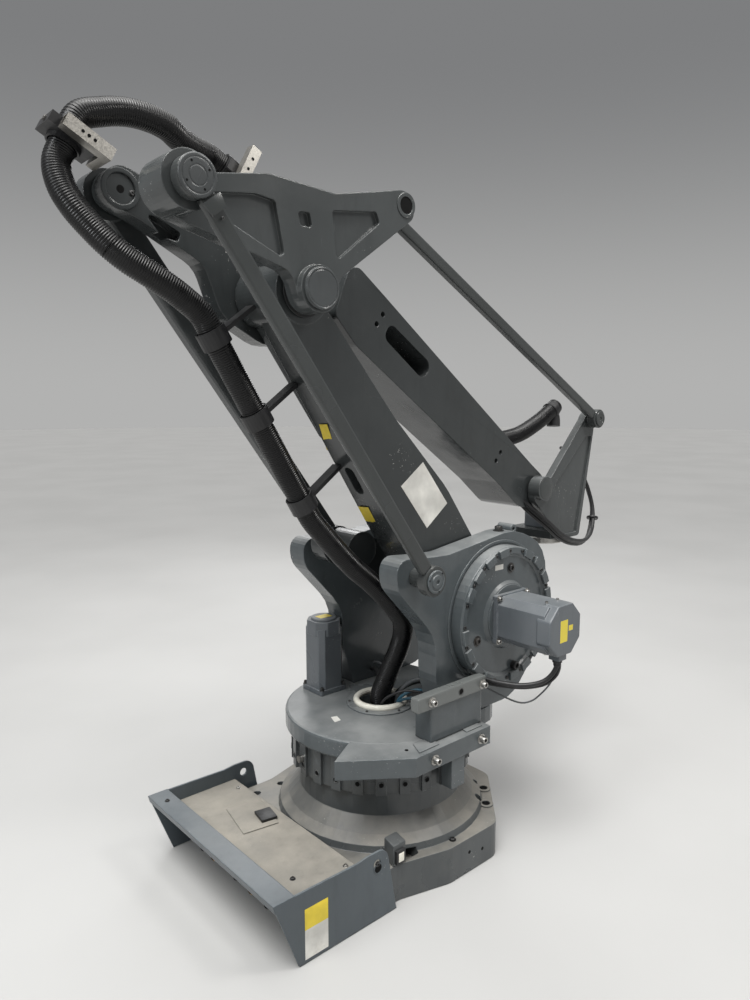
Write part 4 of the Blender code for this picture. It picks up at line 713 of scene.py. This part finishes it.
for side, label in ((-1, "axis_2"), (1, "axis_3")):
    out = (0, side, 0)
    face = (gearbox_y + hair) * side
    screws(label + "_ring_screws", circle_places(axis_2, 0.2255, 20, face, out), 0.0060, 0.0042,
           "turret", steel_dark, washer=False)
    notched_ring(label + "_ring_lands", axis_2, side, "turret")
    washer_ring(label + "_frame_step", [((axis_2.x, 0.2798 * side, axis_2.z), out)], 0.2455,
                0.2560, 0.0030, paint_turret, "turret", 96)
    turned(label + "_drain_plug", (axis_2.x + 0.046, 0.3155 * side, axis_2.z - 0.192), out,
           [(0.0150, 0.0), (0.0150, 0.016), (0.0130, 0.019), (0.0095, 0.019),
            (0.0080, 0.012)], rubber_black, "turret", 24)
    screws(label + "_cover_plugs", circle_places(axis_2, 0.163, 3, 0.3162 * side, out, 1.45),
           0.0125, 0.0085, "turret", steel_dark)
    turned(label + "_hub_step", (axis_2.x, face, axis_2.z), out,
           [(0.1080, 0.0), (0.1080, 0.002), (0.1062, 0.0035), (0.1000, 0.0035)], paint_turret,
           "turret", 64)
    corners = [((axis_2.x + 0.0745 * a, 0.3445 * side, axis_2.z + 0.0745 * b), out)
               for a in (-1, 1) for b in (-1, 1)]
    screws(label + "_motor_screws", corners, 0.0075, 0.010, "turret", steel)
    tail = [((axis_2.x + 0.030 * a, 0.5035 * side, axis_2.z + 0.0835 * b), (0, 0, b))
            for a in (-1, 1) for b in (-1, 1)]
    screws(label + "_cap_screws", tail, 0.005, 0.006, "turret", steel, washer=False)
    turned(label + "_motor_gland", (axis_2.x, 0.5305 * side, axis_2.z - 0.1035), (0, 0, -1),
           [(0.016, 0.0), (0.016, 0.010), (0.0125, 0.013), (0.0125, 0.022), (0.010, 0.024)],
           rubber_black, "turret", 24)

# Turntable, ears, stops
screws("stop_bar_screws", [((-0.113, bar_y - hair, 0.611), near),
                           ((0.126, bar_y - hair, 0.607), near)], 0.011, 0.017, "turret", steel)
washer_ring("stop_bar_hole_rim", [((0.022, bar_y, 0.609), near)], 0.0085, 0.0115, 0.0012,
            steel_dark, "turret")
holes("stop_bar_hole", [((0.022, bar_y - hair, 0.609), near)], 0.0085, "turret")
screws("ear_screws", [((-0.124, ear_y - hair, 0.436), near), ((0.094, ear_y - hair, 0.436), near)],
       0.0115, 0.020, "turret", steel)
holes("ear_holes", [((-0.190, -0.330, deck_z - hair), up), ((0.100, -0.350, deck_z - hair), up)],
      0.006, "turret")
slab_piece("ear_pad_rear", plan(deck_z - 2 * hair, (-0.176, -0.372), (-0.088, -0.372),
                                (-0.074, -0.318), (-0.150, -0.318)), up, 0.003,
           paint_turret, "turret", 0.0012)
slab_piece("ear_pad_front", plan(deck_z - 2 * hair, (0.040, -0.372), (0.118, -0.372),
                                 (0.118, -0.330), (0.050, -0.330)), up, 0.003,
           paint_turret, "turret", 0.0012)
washer_ring("cable_ring_flange", [((0, 0, deck_z), up)], 0.088, 0.122, 0.005, paint_turret,
            "turret")
screws("cable_ring_screws", [((0.111 * cos(0.4 + k * pi / 3), 0.111 * sin(0.4 + k * pi / 3),
                               0.4728), up) for k in range(6)], 0.0045, 0.004, "turret",
       steel_dark, washer=False)

stop_ring_ribs = 26
stop_ring_radius = 0.3180
stop_ring_hole_z = 0.322


def ring_places(radius, z):
    """Places between the ribs of the stop ring, with their directions outward."""
    angles = [2 * pi * (k + 0.5) / stop_ring_ribs for k in range(stop_ring_ribs)]
    return [((radius * cos(angle), radius * sin(angle), z), (cos(angle), sin(angle), 0))
            for angle in angles]


holes("stop_ring_holes", ring_places(stop_ring_radius, stop_ring_hole_z), 0.0075, "base",
      lift=0.0003)
washer_ring("stop_ring_rims", ring_places(stop_ring_radius - hair, stop_ring_hole_z), 0.0078,
            0.0105, 0.0012, paint_base, "base")
motor_low, motor_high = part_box("axis_1_motor")
middle = (motor_low + motor_high) / 2
screws("axis_1_motor_screws", [((middle.x + 0.0500 * a, middle.y + 0.0500 * b,
                                 motor_low.z + 0.018), up) for a in (-1, 1) for b in (-1, 1)],
       0.0062, 0.012, "turret", steel_dark)
turned("axis_1_motor_lid", (middle.x, middle.y, motor_high.z - 0.0005), up,
       [(0.048, 0.0), (0.048, 0.004), (0.045, 0.008)], paint_motor, "turret", 40)
slab_piece("label_axis_1_motor", [(middle.x + 0.026 * a, middle.y + 0.018 * b,
                                   motor_high.z + 0.0076)
                                  for a, b in ((-1, -1), (1, -1), (1, 1), (-1, 1))], up, 0.0005,
           sticker_yellow, "turret")

# Side frames: hexagon plug and lug on top
frame_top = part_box("near_side_frame")[1].z
screws("frame_plugs", [((0.345, -0.239, frame_top - 0.0005), up),
                       ((0.345, 0.239, frame_top - 0.0005), up)], 0.014, 0.018, "turret",
       steel_dark, kind=hex_bolt)
for side, label in ((-1, "near"), (1, "far")):
    turned("frame_lug_" + label, (0.398, 0.2020 * side, frame_top + 0.004), (0, side, 0),
           [(0.0170, 0.0), (0.0170, 0.060), (0.0155, 0.062), (0.0075, 0.062), (0.0070, 0.050)],
           paint_turret, "turret", 32)

# Link rods and pins
turned("lower_rod_head_cap", (link_left.x, rod_y - hair, link_left.z), near,
       [(0.0475, 0.0), (0.0475, 0.002), (0.0450, 0.0035), (0.0400, 0.0035), (0.0390, 0.0025),
        (0.0375, 0.0025), (0.0365, 0.0035), (0.0235, 0.0035), (0.0225, 0.0025),
        (0.0210, 0.0025), (0.0200, 0.0035), (0.0050, 0.0035)], paint_cap, "lower_link_rod", 64)
holes("lower_rod_head_holes", circle_places(link_left, 0.0315, 4, -0.3687, near, 0.5), 0.0028,
      "lower_link_rod")
turned("lower_rod_foot_cap", (rod_foot.x, rod_y - hair, rod_foot.z), near,
       [(0.0360, 0.0), (0.0360, 0.004), (0.0335, 0.006), (0.0300, 0.006), (0.0290, 0.0045),
        (0.0215, 0.0045), (0.0205, 0.0085), (0.0150, 0.0095), (0.0090, 0.0095, 6),
        (0.0085, 0.0050, 6)], paint_turret, "lower_link_rod", 48)
holes("lower_rod_foot_holes", circle_places(rod_foot, 0.0325, 3, -0.3713, near, 0.8), 0.0026,
      "lower_link_rod")
turned("upper_rod_top_cap", (rod_top.x, -0.1842, rod_top.z), near,
       [(0.0300, 0.0), (0.0300, 0.004), (0.0280, 0.0055), (0.0200, 0.0055), (0.0190, 0.0045),
        (0.0150, 0.0045), (0.0090, 0.0045, 6), (0.0085, 0.0015, 6)], paint_rod,
       "upper_link_rod", 40)
washer_ring("elbow_link_bore_rim", [((link_right.x, -0.2530, link_right.z), near)], 0.0245,
            0.0360, 0.0030, paint_link, "elbow_link", 48)
holes("elbow_link_bore", [((link_right.x, -0.2532, link_right.z), near)], 0.0245, "elbow_link")
turned("elbow_cap_disc", (elbow.x, -0.2831, elbow.z), near,
       [(0.0545, 0.0), (0.0545, 0.0012), (0.0530, 0.0022), (0.0500, 0.0022), (0.0490, 0.0010),
        (0.0475, 0.0010), (0.0465, 0.0016), (0.0200, 0.0012)], paint_cap, "elbow_link", 64)
for index, place in enumerate((-0.1995, -0.1965)):
    washer_ring("elbow_seal_%d" % index, [((elbow.x, place, elbow.z), near)], 0.052,
                0.070 - 0.010 * index, 0.0025, rubber_black, "lower_arm")
holes("rear_boss_hole", [((rear_boss.x, 0.0208, rear_boss.z), near)], 0.010, "upper_arm")
washer_ring("rear_boss_rim", [((rear_boss.x, 0.0209, rear_boss.z), near)], 0.038, 0.052, 0.006,
            paint_arm, "upper_arm", 64)
screws("rear_boss_bolt", [((rear_boss.x + 0.030, 0.0208, rear_boss.z - 0.006), near)], 0.0055,
       0.005, "upper_arm", steel_dark)
rod_along = (rod_foot - link_left).normalized()
rod_across = Vector((-rod_along.z, 0, rod_along.x))
slab_piece("lower_rod_collar", [link_left + rod_along * s + rod_across * w
                                + Vector((0, -0.3650, 0))
                                for s, w in ((0.052, -0.027), (0.052, 0.027), (0.086, 0.022),
                                             (0.086, -0.022))], near, 0.0045, paint_rod,
           "lower_link_rod", 0.0015)
screws("lower_rod_collar_screw", [(link_left + rod_along * 0.100 + Vector((0, -0.3648, 0)),
                                   near)], 0.0035, 0.003, "lower_link_rod", steel_dark,
       washer=False)
turned("wrist_boss_cap", (wrist.x, -0.1642, wrist.z), near,
       [(0.0400, 0.0), (0.0400, 0.0008), (0.0385, 0.0015), (0.0100, 0.0018)], paint_rod,
       "wrist", 40)

# Hose bracket, clamps
bar = elbow - upper_along * 0.628 + upper_height * 0.048 + Vector((0, 0.030, 0))
screws("clamp_bar_bolts_rear", [(bar + upper_along * 0.0600, upper_along),
                                (bar - upper_along * 0.0600, -upper_along)],
       0.0075, 0.007, "upper_arm", steel_dark, kind=hex_bolt)
holes("bracket_holes_rear", [(elbow + upper_along * -(0.588 + 0.016 * k) + upper_height * 0.049
                              + Vector((0, -0.0402, 0)), near) for k in range(3)], 0.0042,
      "upper_arm")
holes("bracket_holes_top", [(elbow + upper_along * -0.187 + upper_height * (0.250 + 0.034 * k)
                             + Vector((0, 0.0448, 0)), near) for k in range(4)], 0.0045,
      "upper_arm")

# Base: bolt rims, cover screws, tray hatch, connectors
base_half_width = 0.402
base_chamfer = 0.235
base_bolt_inset = 0.052
base_bolt_spacing = 0.105
bolt_middle = base_half_width - base_chamfer / 2 - base_bolt_inset / 2 / 2 ** 0.5
bolt_shift = base_bolt_spacing / 2 / 2 ** 0.5
bolt_places = [((bolt_middle + step * bolt_shift, side * (bolt_middle - step * bolt_shift),
                 base_z - hair), up) for side in (-1, 1) for step in (-1, 1)]
washer_ring("base_bolt_rims", bolt_places, 0.0145, 0.026, 0.005, paint_base, "base")
holes("base_bolt_holes", bolt_places, 0.0145, "base", lift=0.0010)
screws("base_plugs", [((-0.020, -0.372, base_z - hair), up)], 0.009, 0.007, "base", steel_dark,
       kind=hex_bolt)
holes("base_side_holes", [((0.030, -0.4018, 0.070), near), ((0.095, -0.4018, 0.055), near)],
      0.006, "base")
screws("cover_screws", [((-0.607, -0.309, 0.2188), up), ((-0.680, 0.300, 0.2188), up),
                        ((-0.348, cover_y - hair, 0.180), near)], 0.006, 0.005, "base", steel_dark)
washer_ring("cover_ear_hole_rim", [((-0.345, cover_y - hair, 0.165), near)], 0.0135, 0.0175, 0.0012,
            paint_cover, "base")
holes("cover_ear_hole", [((-0.345, -0.3723, 0.165), near)], 0.0135, "base")
slab_piece("base_connector", plan(base_z - 2 * hair, (-0.264, -0.352), (-0.212, -0.352),
                                  (-0.200, -0.296), (-0.252, -0.296)), up, 0.070,
           paint_cap, "base", 0.004)
slab_piece("base_connector_face", upright(-0.3515, (-0.258, 0.128), (-0.221, 0.128),
                                          (-0.221, 0.172), (-0.258, 0.172)), near,
           0.010, clamp_black, "base", 0.002)
slab_piece("base_connector_insert", upright(-0.361, (-0.250, 0.136), (-0.229, 0.136),
                                            (-0.229, 0.164), (-0.250, 0.164)), near,
           0.002, ring_white, "base", 0.0005)
slab_piece("tray_hatch", plan(tray_z + hair, (-0.430, 0.020), (-0.395, 0.185),
                              (-0.515, 0.205), (-0.550, 0.040)), up, 0.004,
           sheet_dusty, "base", 0.0015)
slab_piece("tray_hatch_block", plan(0.1688, (-0.420, 0.040), (-0.408, 0.105),
                                    (-0.462, 0.115), (-0.474, 0.050)), up, 0.010,
           clamp_black, "base", 0.002)
screws("tray_screws", [(place, up) for place in plan(
    tray_z, (-0.410, -0.300), (-0.410, 0.300), (-0.630, -0.320), (-0.630, 0.320),
    (-0.520, -0.330))], 0.006, 0.005, "base", steel)
box_half_width = 0.338
for index, share in enumerate((-0.6, -0.35, -0.1, 0.3, 0.5)):
    y = share * box_half_width
    turned("plug_nut_%d" % index, (-0.6098, y, 0.095), (-1, 0, 0),
           [(0.0185, 0.0, 6), (0.0185, 0.008, 6), (0.0150, 0.010), (0.0150, 0.018),
            (0.0120, 0.020), (0.0120, 0.004)], brass_dull if index % 2 else steel_dark, "base", 24)

# Cables that rise through the ring and run into the near side frame
bundle = (
    ("cable_thick_a", 0.0085, cable_grey,
     [(0.045, -0.030, 0.43), (0.052, -0.042, 0.50), (0.075, -0.085, 0.55), (0.110, -0.140, 0.565),
      (0.130, -0.192, 0.560)]),
    ("cable_thick_b", 0.0085, rubber_black,
     [(0.055, -0.010, 0.43), (0.066, -0.018, 0.49), (0.100, -0.070, 0.535),
      (0.140, -0.130, 0.545), (0.160, -0.192, 0.540)]),
    ("cable_blue_a", 0.0060, cable_blue,
     [(0.030, -0.052, 0.43), (0.030, -0.066, 0.49), (0.055, -0.110, 0.528),
      (0.085, -0.155, 0.530), (0.100, -0.192, 0.522)]),
    ("cable_blue_b", 0.0050, cable_blue,
     [(0.012, -0.060, 0.43), (0.010, -0.078, 0.485), (0.030, -0.125, 0.512),
      (0.055, -0.165, 0.512), (0.070, -0.192, 0.505)]),
    ("cable_thin_a", 0.0045, rubber_black,
     [(-0.040, -0.045, 0.43), (-0.042, -0.060, 0.50), (-0.010, -0.120, 0.545),
      (0.030, -0.165, 0.545), (0.055, -0.192, 0.535)]),
    ("cable_thin_b", 0.0045, cable_grey,
     [(0.060, 0.022, 0.43), (0.072, 0.030, 0.50), (0.110, 0.085, 0.54), (0.130, 0.150, 0.54),
      (0.140, 0.192, 0.53)]),
    ("cable_thick_c", 0.0080, rubber_black,
     [(0.040, 0.045, 0.43), (0.050, 0.060, 0.49), (0.090, 0.110, 0.515), (0.120, 0.160, 0.515),
      (0.130, 0.192, 0.505)]),
)
for name, radius, material, points in bundle:
    strand(name, points, radius, material, "turret")

for side, label in ((-1, "axis_2"), (1, "axis_3")):
    strand(label + "_motor_cable_a", [
        (0.300, 0.530 * side, 0.688), (0.298, 0.529 * side, 0.668), (0.286, 0.520 * side, 0.642),
        (0.262, 0.500 * side, 0.618), (0.222, 0.455 * side, 0.604), (0.188, 0.400 * side, 0.604),
        (0.170, 0.345 * side, 0.606), (0.163, 0.300 * side, 0.606), (0.162, 0.272 * side, 0.606)],
        0.0078, rubber_black, "turret")
    strand(label + "_motor_cable_b", [
        (0.306, 0.534 * side, 0.688), (0.308, 0.533 * side, 0.664), (0.300, 0.524 * side, 0.634),
        (0.276, 0.498 * side, 0.606), (0.240, 0.448 * side, 0.590), (0.206, 0.396 * side, 0.588),
        (0.180, 0.345 * side, 0.590), (0.172, 0.300 * side, 0.590), (0.172, 0.272 * side, 0.590)],
        0.0062, rubber_black, "turret")
    strand(label + "_motor_wire", [
        (0.306, 0.520 * side, 0.648), (0.312, 0.500 * side, 0.604), (0.322, 0.462 * side, 0.556),
        (0.306, 0.430 * side, 0.520), (0.262, 0.410 * side, 0.520), (0.212, 0.370 * side, 0.548),
        (0.184, 0.320 * side, 0.572), (0.180, 0.272 * side, 0.576)], 0.0030, cable_grey, "turret")

# Cables from the underside of the upper arm round the wrist
for index, (shift, radius) in enumerate(((0.0, 0.0080), (0.017, 0.0070), (0.008, 0.0055))):
    loop = [(0.640, -0.075 + shift, 1.170), (0.700, -0.112 + shift, 1.115 - shift),
            (0.770, -0.150 + shift, 1.050 - shift), (0.850, -0.165 + shift, 0.990 - shift),
            (0.950, -0.160 + shift, 0.955 - shift), (1.060, -0.140 + shift, 0.945 - shift),
            (1.150, -0.110 + shift, 0.975 - shift), (1.192 + shift, -0.085 + shift, 1.050),
            (1.196 + shift, -0.060 + shift, 1.130), (1.165 + shift, -0.040 + shift, 1.215),
            (1.110, -0.030 + shift, 1.290), (1.050, -0.020 + shift, 1.330)]
    cable = strand("wrist_cable_%d" % index, loop, radius, rubber_black, None)
    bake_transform(cable)
turned("wrist_cable_tie", (1.188, -0.086, 1.012), (0.35, 0.2, 0.92),
       [(0.0240, 0.0), (0.0250, 0.002), (0.0250, 0.008), (0.0240, 0.010)], clamp_black, "wrist",
       24)

turned("hose_end_collar", (1.165, 0.140, 1.4825), (0.053, 0, 0.032),
       [(0.0370, 0.0), (0.0395, 0.003), (0.0395, 0.022), (0.0370, 0.026), (0.0370, 0.034),
        (0.0330, 0.038)], clamp_black, "upper_arm", 32)
strand("hose_outlet", [(1.178, 0.140, 1.478), (1.186, 0.138, 1.462), (1.190, 0.136, 1.440),
                       (1.188, 0.134, 1.415)], 0.0300, rubber_black, "upper_arm", sides=24)

# Stickers, left blank
slab_piece("label_lower_arm", upright(-0.1901, (0.013, 1.336), (0.130, 1.191),
                                      (0.034, 1.117), (-0.085, 1.265)), near, 0.0006,
           sticker_white, "lower_arm")
arm_rear = lower_across * -1
for label, corners in (("low", ((-0.144, -0.059, 1.199), (-0.145, -0.110, 1.202),
                                (-0.084, -0.100, 1.119), (-0.075, -0.046, 1.107))),
                       ("high", ((-0.334, -0.083, 1.457), (-0.335, -0.123, 1.458),
                                 (-0.279, -0.090, 1.383), (-0.273, -0.042, 1.374)))):
    middle = sum((Vector(corner) for corner in corners), Vector()) / 4
    shift = seat("lower_arm", middle, arm_rear) - middle
    slab_piece("label_arm_rear_" + label, [Vector(corner) + shift for corner in corners],
               arm_rear, 0.0006, sticker_yellow, "lower_arm")
for name, low_z, high_z, material in (("label_cover_yellow", 0.100, 0.162, sticker_yellow),
                                      ("label_cover_white", 0.012, 0.100, sticker_white)):
    slab_piece(name, upright(cover_y - hair / 2, (-0.613, high_z), (-0.533, high_z),
                             (-0.533, low_z), (-0.613, low_z)), near, 0.0005, material, "base")
slab_piece("label_turntable", plan(deck_z + hair / 2, (-0.215, 0.013), (-0.194, 0.006),
                                   (-0.205, -0.028), (-0.230, -0.027)), up, 0.0005,
           sticker_white, "turret")
slab_piece("label_gearbox", upright(-0.3161, (0.236, 0.981), (0.279, 0.981),
                                    (0.279, 0.963), (0.236, 0.963)), near, 0.0005,
           sticker_white, "turret")


# Stage and light
def light_up(data, place, aim, energy, colour):
    """Put a light in the scene, aimed at a point."""
    data.energy = energy
    data.color = colour
    item = bpy.data.objects.new(data.name, data)
    item.location = place
    direction = Vector(aim) - Vector(place)
    item.rotation_euler = direction.to_track_quat("-Z", "Y").to_euler()
    bpy.context.scene.collection.objects.link(item)


def make_stage():
    """Pale floor, soft light."""
    made, tree, shader, place = new_tree("floor_pale")
    tone = noise(tree, place.outputs["Object"], 0.8, 4.0)
    tree.links.new(blend_colour(tree, ramp(tree, tone, 0.3, 0.7), (0.43, 0.43, 0.425),
                                (0.46, 0.46, 0.455)), shader.inputs["Base Color"])
    shader.inputs["Roughness"].default_value = 0.7
    mesh = bpy.data.meshes.new("floor")
    shape = bmesh.new()
    bmesh.ops.create_circle(shape, cap_ends=True, segments=96, radius=40)
    shape.to_mesh(mesh)
    shape.free()
    mesh.materials.append(made)
    floor = bpy.data.objects.new("floor", mesh)
    floor.location = (0, 0, -0.001)
    bpy.context.scene.collection.objects.link(floor)
    for name, place, aim, size, energy, colour in (
            ("softbox_top", (-0.9, -0.3, 4.4), (0.1, 0, 0.8), 3.2, 105, (1.0, 0.99, 0.97)),
            ("softbox_left", (-3.8, 0.2, 3.2), (0, 0, 1.3), 0.9, 42, (0.95, 0.98, 1.0)),
            ("softbox_right", (1.5, -2.6, 4.2), (0, 0, 0.9), 0.9, 60, (1.0, 0.98, 0.95)),
            ("softbox_back", (2.6, 3.6, 3.6), (0, 0, 1.2), 2.2, 60, (1.0, 1.0, 1.0))):
        data = bpy.data.lights.new(name, "AREA")
        data.shape = "SQUARE"
        data.size = size
        light_up(data, place, aim, energy, colour)
    sun = bpy.data.lights.new("sky_light", "SUN")
    sun.angle = 0.50
    light_up(sun, (-1.6, -1.0, 4.2), (0, 0, 0), 2.35, (1.0, 0.99, 0.97))
    world = bpy.data.worlds.new("world")
    world.use_nodes = True
    tree = world.node_tree
    direction = add(tree, "ShaderNodeTexCoord").outputs["Generated"]
    height = add(tree, "ShaderNodeSeparateXYZ", {0: direction}).outputs["Z"]
    low = blend_colour(tree, ramp(tree, height, 0.0, 0.40), (0.445, 0.445, 0.44),
                       (0.205, 0.208, 0.212))
    tree.links.new(blend_colour(tree, ramp(tree, height, 0.45, 0.95), low, (0.50, 0.50, 0.50)),
                   tree.nodes["Background"].inputs["Color"])
    bpy.context.scene.world = world
    bpy.context.scene.view_settings.view_transform = "Standard"
    bpy.context.scene.view_settings.look = "None"
    bpy.context.scene.view_settings.exposure = 0.0


make_stage()
